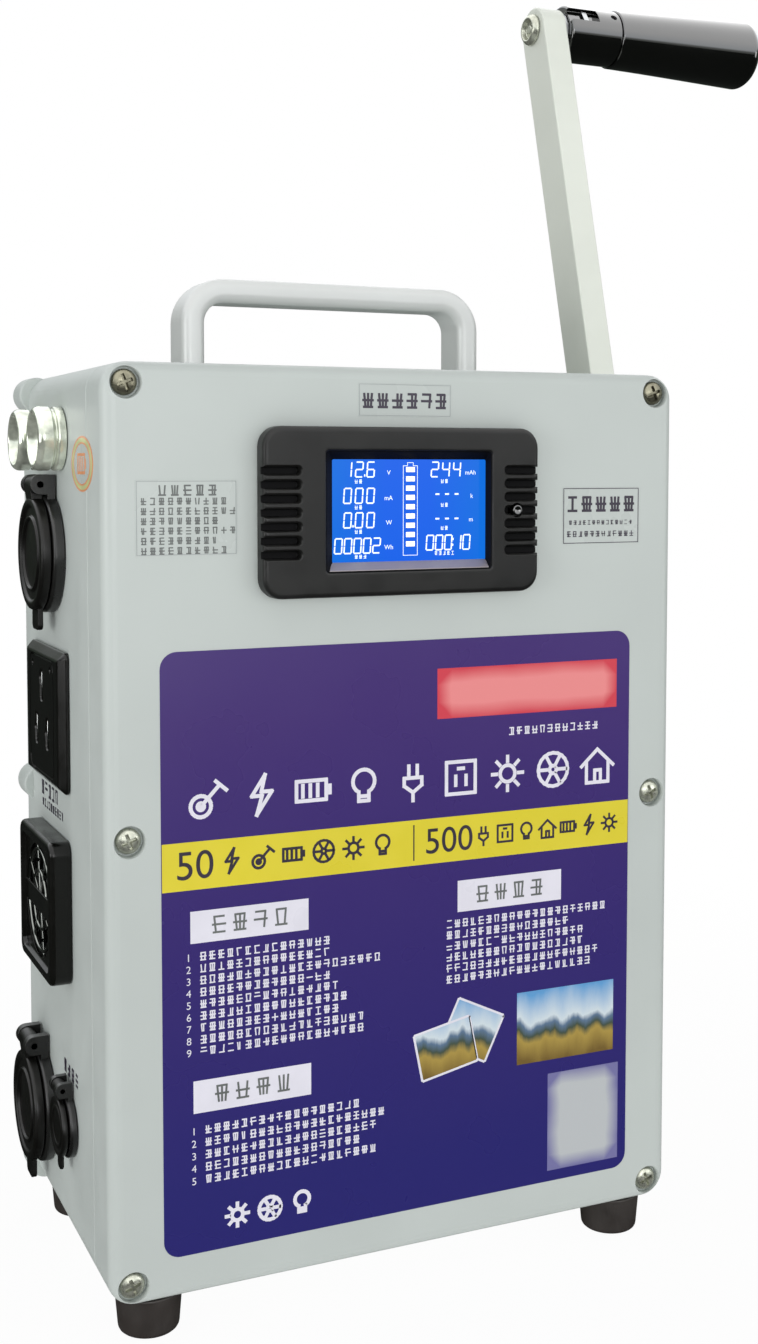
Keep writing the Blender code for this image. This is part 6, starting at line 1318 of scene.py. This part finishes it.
class GENERATOR_OT_crank(Maker, bpy.types.Operator):
    """Add the crank: its bearing, arm and tip bolt"""
    bl_idname = "generator.crank"
    bl_label = "Crank"

    def build(self, scene):
        """The arm is a slab with round ends: two half circles joined by straight sides, then leaned."""
        size = scene.generator_crank
        place, across = seat("bearing_flange", "right")
        deep, bore, step = across[2], 0.0066, -0.0025
        profile = eased([(bore, -deep), (0.013, -deep), (0.013, step), (0.019, step), (0.019, 0), (bore, 0)],
                        [0, 0.0004, 0, 0.0002, 0.0008, 0.0004])
        self.add("bearing_ring", turned(profile, 72), "black", ["bearing_flange"], ("right", place))
        low, high = box("crank_arm")
        angle = np.linspace(0, math.pi, 25)
        end = size.arm_width / 2 * np.stack([np.cos(angle), np.sin(angle)], -1)
        outline = spin(np.concatenate([end + (0, size.arm_length), -end]), -size.lean)
        self.add("crank_bar", soft_slab(outline, low[0], high[0], 0.0007), "arm", ["crank_arm"],
                 ("right", (0, 0, size.height)), "crank")
        self.add_tip_bolt(low[0])
        self.dress("steel", "crank_shaft")

    def add_tip_bolt(self, face):
        """Round bolt head on the arm's inner face, dished round a small blunt end."""
        place, across = seat("arm_bolt", "right")
        radius, end = across[0] / 2, across[2] - 0.0024
        shank = 0.0025
        head = eased([(0, -0.0014), (0.0016, -0.0014), (0.0019, -0.0006), (0.0032, -0.0006),
                      (0.0038, -0.0024), (radius - 0.0010, -0.0024), (radius, -0.0008), (radius, 0),
                      (shank, 0), (shank, end), (0, end)],
                     [0, 0.0003, 0.0003, 0.0003, 0.0004, 0.0010, 0.0004, 0.0002, 0, 0.0006, 0])
        self.add("tip_bolt", turned(head, 48), "worn_steel", ["arm_bolt"],
                 ("right", (face - 0.0003, place[1], place[2])), "crank")


class GENERATOR_OT_grip(Maker, bpy.types.Operator):
    """Add the revolving grip: its collar, sleeve and key"""
    bl_idname = "generator.grip"
    bl_label = "Grip"

    def build(self, scene):
        """Surfaces over the place along the grip and the turn round it: radius times (cos a, sin a)."""
        size = scene.generator_crank
        low, high = box("grip_collar")
        at = ("right", (low[0], *((low + high) / 2)[1:]))
        rise = math.radians(180 - 36)
        bore, neck, step, end = 0.0063, 0.0085, 0.0218, 0.0298
        wide = size.collar
        collar = eased([(bore, 0), (wide, 0), (wide, step), (neck, step), (neck, end), (bore, end)],
                       [0, 0.0009, 0.0003, 0, 0.0004, 0])
        window = moved(slab(rounded_outline(0.004, 0.006, 0.0002, 2), [(0, -0.002), (0, 0.012)]), 0.0102)
        hole = moved(slab(rounded_outline(0.006, 0.0056, 0.0002, 2), [(0, 0.0049), (0, 0.0075)]), 0.0075)
        pit = eased([(0, -0.0015), (0.00125, -0.0015), (0.00125, 0.0001), (0.0018, 0.0008), (0, 0.0008)],
                    [0, 0.0004, 0.0004, 0, 0])
        points, faces = moved(turned(pit, 24), out=wide)
        along = 0.019
        dimple = points[:, [2, 1, 0]] * (1, -1, 1) + (0, 0, along), faces
        cuts = [spun(part, rise) for part in (window, hole, dimple)]
        self.add("grip_collar_ring", turned(collar, 72), "glossy_black", ["grip_collar"], at, "grip", cuts,
                 edge=0.00015)
        self.add_sleeve(size, at)
        self.dress("steel", "grip_axle", "grip_key")

    def add_sleeve(self, size, at):
        """Sleeve that swells along its length, with a thin raised seam along its top.

        The radius is the profile's own, plus the seam's height where the turn is within the seam's width.
        """
        low, high = box("grip_sleeve")
        first, last = low[0] - at[1][0], high[0] - at[1][0] - 0.0072
        tail, bore, floor = last - 0.0022, 0.0063, first + 0.055
        profile = eased([(0, floor), (bore, floor), (bore, first), (size.grip_start, first),
                         (size.grip_start + 0.0006, first + 0.02), (size.grip_end, tail),
                         (size.grip_end - 0.0016, last), (0, last)],
                        [0, 0, 0, 0.0006, 0.02, 0.0012, 0.0008, 0], 8)
        radius, level = profile.T[:, :, None]
        angle = np.arange(96) * math.tau / 96
        seam_turn, seam_width, seam_height = math.pi / 2 + 0.25, 0.05, 0.0003
        off = np.angle(np.exp(1j * (angle - seam_turn)))
        seam = seam_height * np.exp(-(off / seam_width) ** 2)
        run = np.clip((level - 0.058) / 0.002, 0, 1) * (level < tail - 0.002) * (radius > 0.009)
        radius = np.where(radius > 0.0125, radius - seam_height * run, radius) + seam * run
        rows = np.stack([radius * np.cos(angle), radius * np.sin(angle), level + 0 * angle], -1)
        self.add("grip_sleeve_moulding", skin(rows), "glossy_black", ["grip_sleeve"], at, "grip")


class GENERATOR_OT_works(Maker, bpy.types.Operator):
    """Finish the gear train, the generator, the pack and the board inside the case"""
    bl_idname = "generator.works"
    bl_label = "Works inside"

    def build(self, scene):
        """The model's own pieces stay, and get their finishes."""
        self.dress("nylon", "drive_gear", "idler_gear")
        self.dress("steel", "gearbox_outer_plate", "gearbox_inner_plate", "generator_housing",
                   "generator_rotor")
        self.dress("film", "battery_pack")
        self.dress("board", "inverter_board")


class GENERATOR_OT_stage(Maker, bpy.types.Operator):
    """Add the floor, the lamps, the pale surroundings and the camera"""
    bl_idname = "generator.stage"
    bl_label = "Stage"

    def build(self, scene):
        """A pale floor that runs to white far off, three soft lamps and the photograph's view."""
        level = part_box("foot_1")[0][2]
        count, reach = 17, 4.0
        steps = np.linspace(-reach, reach, count)
        grid = np.stack(np.meshgrid(steps, steps, indexing="ij") + [np.full((count, count), level)], -1)
        index = np.arange(count * count).reshape(count, count)
        faces = np.stack([index[:-1, :-1], index[1:, :-1], index[1:, 1:], index[:-1, 1:]], -1).reshape(-1, 4)
        mesh = bpy.data.meshes.new("floor")
        mesh.from_pydata(grid.reshape(-1, 3).tolist(), [], faces.tolist())
        floor = bpy.data.objects.new("floor", mesh)
        scene.collection.objects.link(floor)
        mesh.materials.append(self.floor_finish())
        self.add_world(scene)
        for name, place, width, power in (("key_lamp", (-0.1, -2.2, 0.15), 1.2, 12.5),
                                          ("right_lamp", (1.9, -1.7, 0.2), 0.8, 6.0),
                                          ("side_lamp", (-1.6, -0.6, 0.12), 0.9, 10.5)):
            self.add_lamp(scene, name, place, width, power)
        self.add_camera(scene)

    def floor_finish(self):
        """White floor that keeps soft shadows near the object, glows to white beyond and mirrors dark."""
        pale, mirrored = (0.94, 0.94, 0.94), (0.04, 0.045, 0.04)
        finish = Finish("pale floor", pale, 0.9, Specular_IOR_Level=0.0)
        path = finish.node("ShaderNodeLightPath").outputs
        shade = finish.ramp(path["Is Glossy Ray"], (0.0, pale), (1.0, mirrored))
        finish.feed(finish.shader, "Base Color", shade)
        distance = finish.node("ShaderNodeVectorMath", {0: finish.place}, operation="LENGTH").outputs["Value"]
        far = finish.between(distance, 0.12, 0.5, 0.96, 1.0)
        seen = finish.sum(path["Is Camera Ray"], path["Is Transmission Ray"], "MAXIMUM")
        seen = finish.sum(seen, finish.sum(path["Is Diffuse Ray"], 0.7, "MULTIPLY"), "MAXIMUM")
        glow = finish.node("ShaderNodeEmission", {"Color": (1, 1, 1, 1), "Strength": 1.0}).outputs[0]
        mix = finish.node("ShaderNodeMixShader", {0: finish.sum(far, seen, "MULTIPLY"),
                                                  1: finish.shader.outputs[0], 2: glow})
        finish.tree.links.new(mix.outputs[0], finish.tree.nodes["Material Output"].inputs[0])
        return finish.material

    def add_world(self, scene):
        """Surroundings that show white, mirror as a bright sky over dark ground, and light softly."""
        world = bpy.data.worlds.new("surroundings")
        world.use_nodes = True
        nodes = Nodes(world.node_tree, "Generated")
        path = nodes.node("ShaderNodeLightPath").outputs
        # Towards the viewer's side the bright sky starts lower
        front = nodes.between(nodes.axis(1), -1.0, 0.0, 0.36, 0.0)
        sky = nodes.ramp(nodes.sum(nodes.axis(2), front), (0.0, (0.03, 0.04, 0.03)),
                         (0.14, (0.05, 0.06, 0.05)), (0.30, (0.22, 0.23, 0.22)), (0.38, (0.8, 0.83, 0.86)),
                         (0.7, (1.0, 1.0, 1.0)))
        light, mirrored, shown = (
            nodes.node("ShaderNodeBackground", {"Color": colour, "Strength": strength}).outputs[0]
            for colour, strength in (((0.97, 0.985, 1.0, 1), 0.56), (sky, 2.2), ((1, 1, 1, 1), 1.0)))
        seen = nodes.sum(path["Is Camera Ray"], path["Is Transmission Ray"], "MAXIMUM")
        first = nodes.node("ShaderNodeMixShader", {0: path["Is Glossy Ray"], 1: light, 2: mirrored})
        mix = nodes.node("ShaderNodeMixShader", {0: seen, 1: first.outputs[0], 2: shown}).outputs[0]
        nodes.tree.links.new(mix, nodes.tree.nodes["World Output"].inputs[0])
        scene.world = world

    def add_lamp(self, scene, name, place, width, power):
        """Square soft lamp that faces the middle of the case."""
        lamp = bpy.data.lights.new(name, "AREA")
        lamp.size, lamp.energy = width, power
        item = bpy.data.objects.new(name, lamp)
        item.location = place
        middle = np.array([0.0, 0.0, 0.15])
        aim = middle - place
        item.rotation_euler = (math.atan2(np.hypot(aim[0], aim[1]), -aim[2]), 0.0,
                               math.atan2(-aim[0], aim[1]))
        scene.collection.objects.link(item)

    def add_camera(self, scene):
        """Camera at the photograph's place, turned and shifted as its frame is."""
        down, aside = 3.40, 23.97
        lens = bpy.data.cameras.new("camera")
        lens.sensor_width = 36.0
        lens.lens = 43.29
        lens.shift_y = -0.0816
        lens.clip_start = 0.01
        camera = bpy.data.objects.new("camera", lens)
        camera.location = (-0.2060, -0.4945, 0.2416)
        camera.rotation_euler = (math.radians(90 - down), 0.0, math.radians(-aside))
        scene.collection.objects.link(camera)
        scene.camera = camera
        scene.view_settings.view_transform = "Standard"


class GENERATOR_PT_panel(bpy.types.Panel):
    """Lists the makers of the generator's pieces"""
    bl_idname = "GENERATOR_PT_panel"
    bl_label = "Hand crank generator"
    bl_space_type = "VIEW_3D"
    bl_region_type = "UI"
    bl_category = "Generator"

    def draw(self, context):
        """One button for each maker."""
        for maker in MAKERS:
            self.layout.operator(maker.bl_idname)


GROUPS = {"generator_case": CaseSizes, "generator_meter": MeterSizes, "generator_sockets": SocketSizes,
          "generator_crank": CrankSizes, "generator_colours": Colours}
MAKERS = (GENERATOR_OT_stage, GENERATOR_OT_case, GENERATOR_OT_screws, GENERATOR_OT_feet,
          GENERATOR_OT_handle, GENERATOR_OT_meter, GENERATOR_OT_label, GENERATOR_OT_lamps,
          GENERATOR_OT_sockets, GENERATOR_OT_outlet, GENERATOR_OT_fan, GENERATOR_OT_crank,
          GENERATOR_OT_grip, GENERATOR_OT_works)


def register():
    """Make the classes known and hang the sizes and colours on the scene."""
    for group in (*GROUPS.values(), *MAKERS, GENERATOR_PT_panel):
        bpy.utils.register_class(group)
    for name, group in GROUPS.items():
        setattr(bpy.types.Scene, name, PointerProperty(type=group))


def unregister():
    """Take the classes and their settings away again."""
    for name in GROUPS:
        delattr(bpy.types.Scene, name)
    for group in (GENERATOR_PT_panel, *reversed(MAKERS), *reversed(list(GROUPS.values()))):
        bpy.utils.unregister_class(group)


def main():
    """Build every group in turn."""
    register()
    for maker in MAKERS:
        group, name = maker.bl_idname.split(".")
        getattr(getattr(bpy.ops, group), name)()


if __name__ == "__main__":
    main()
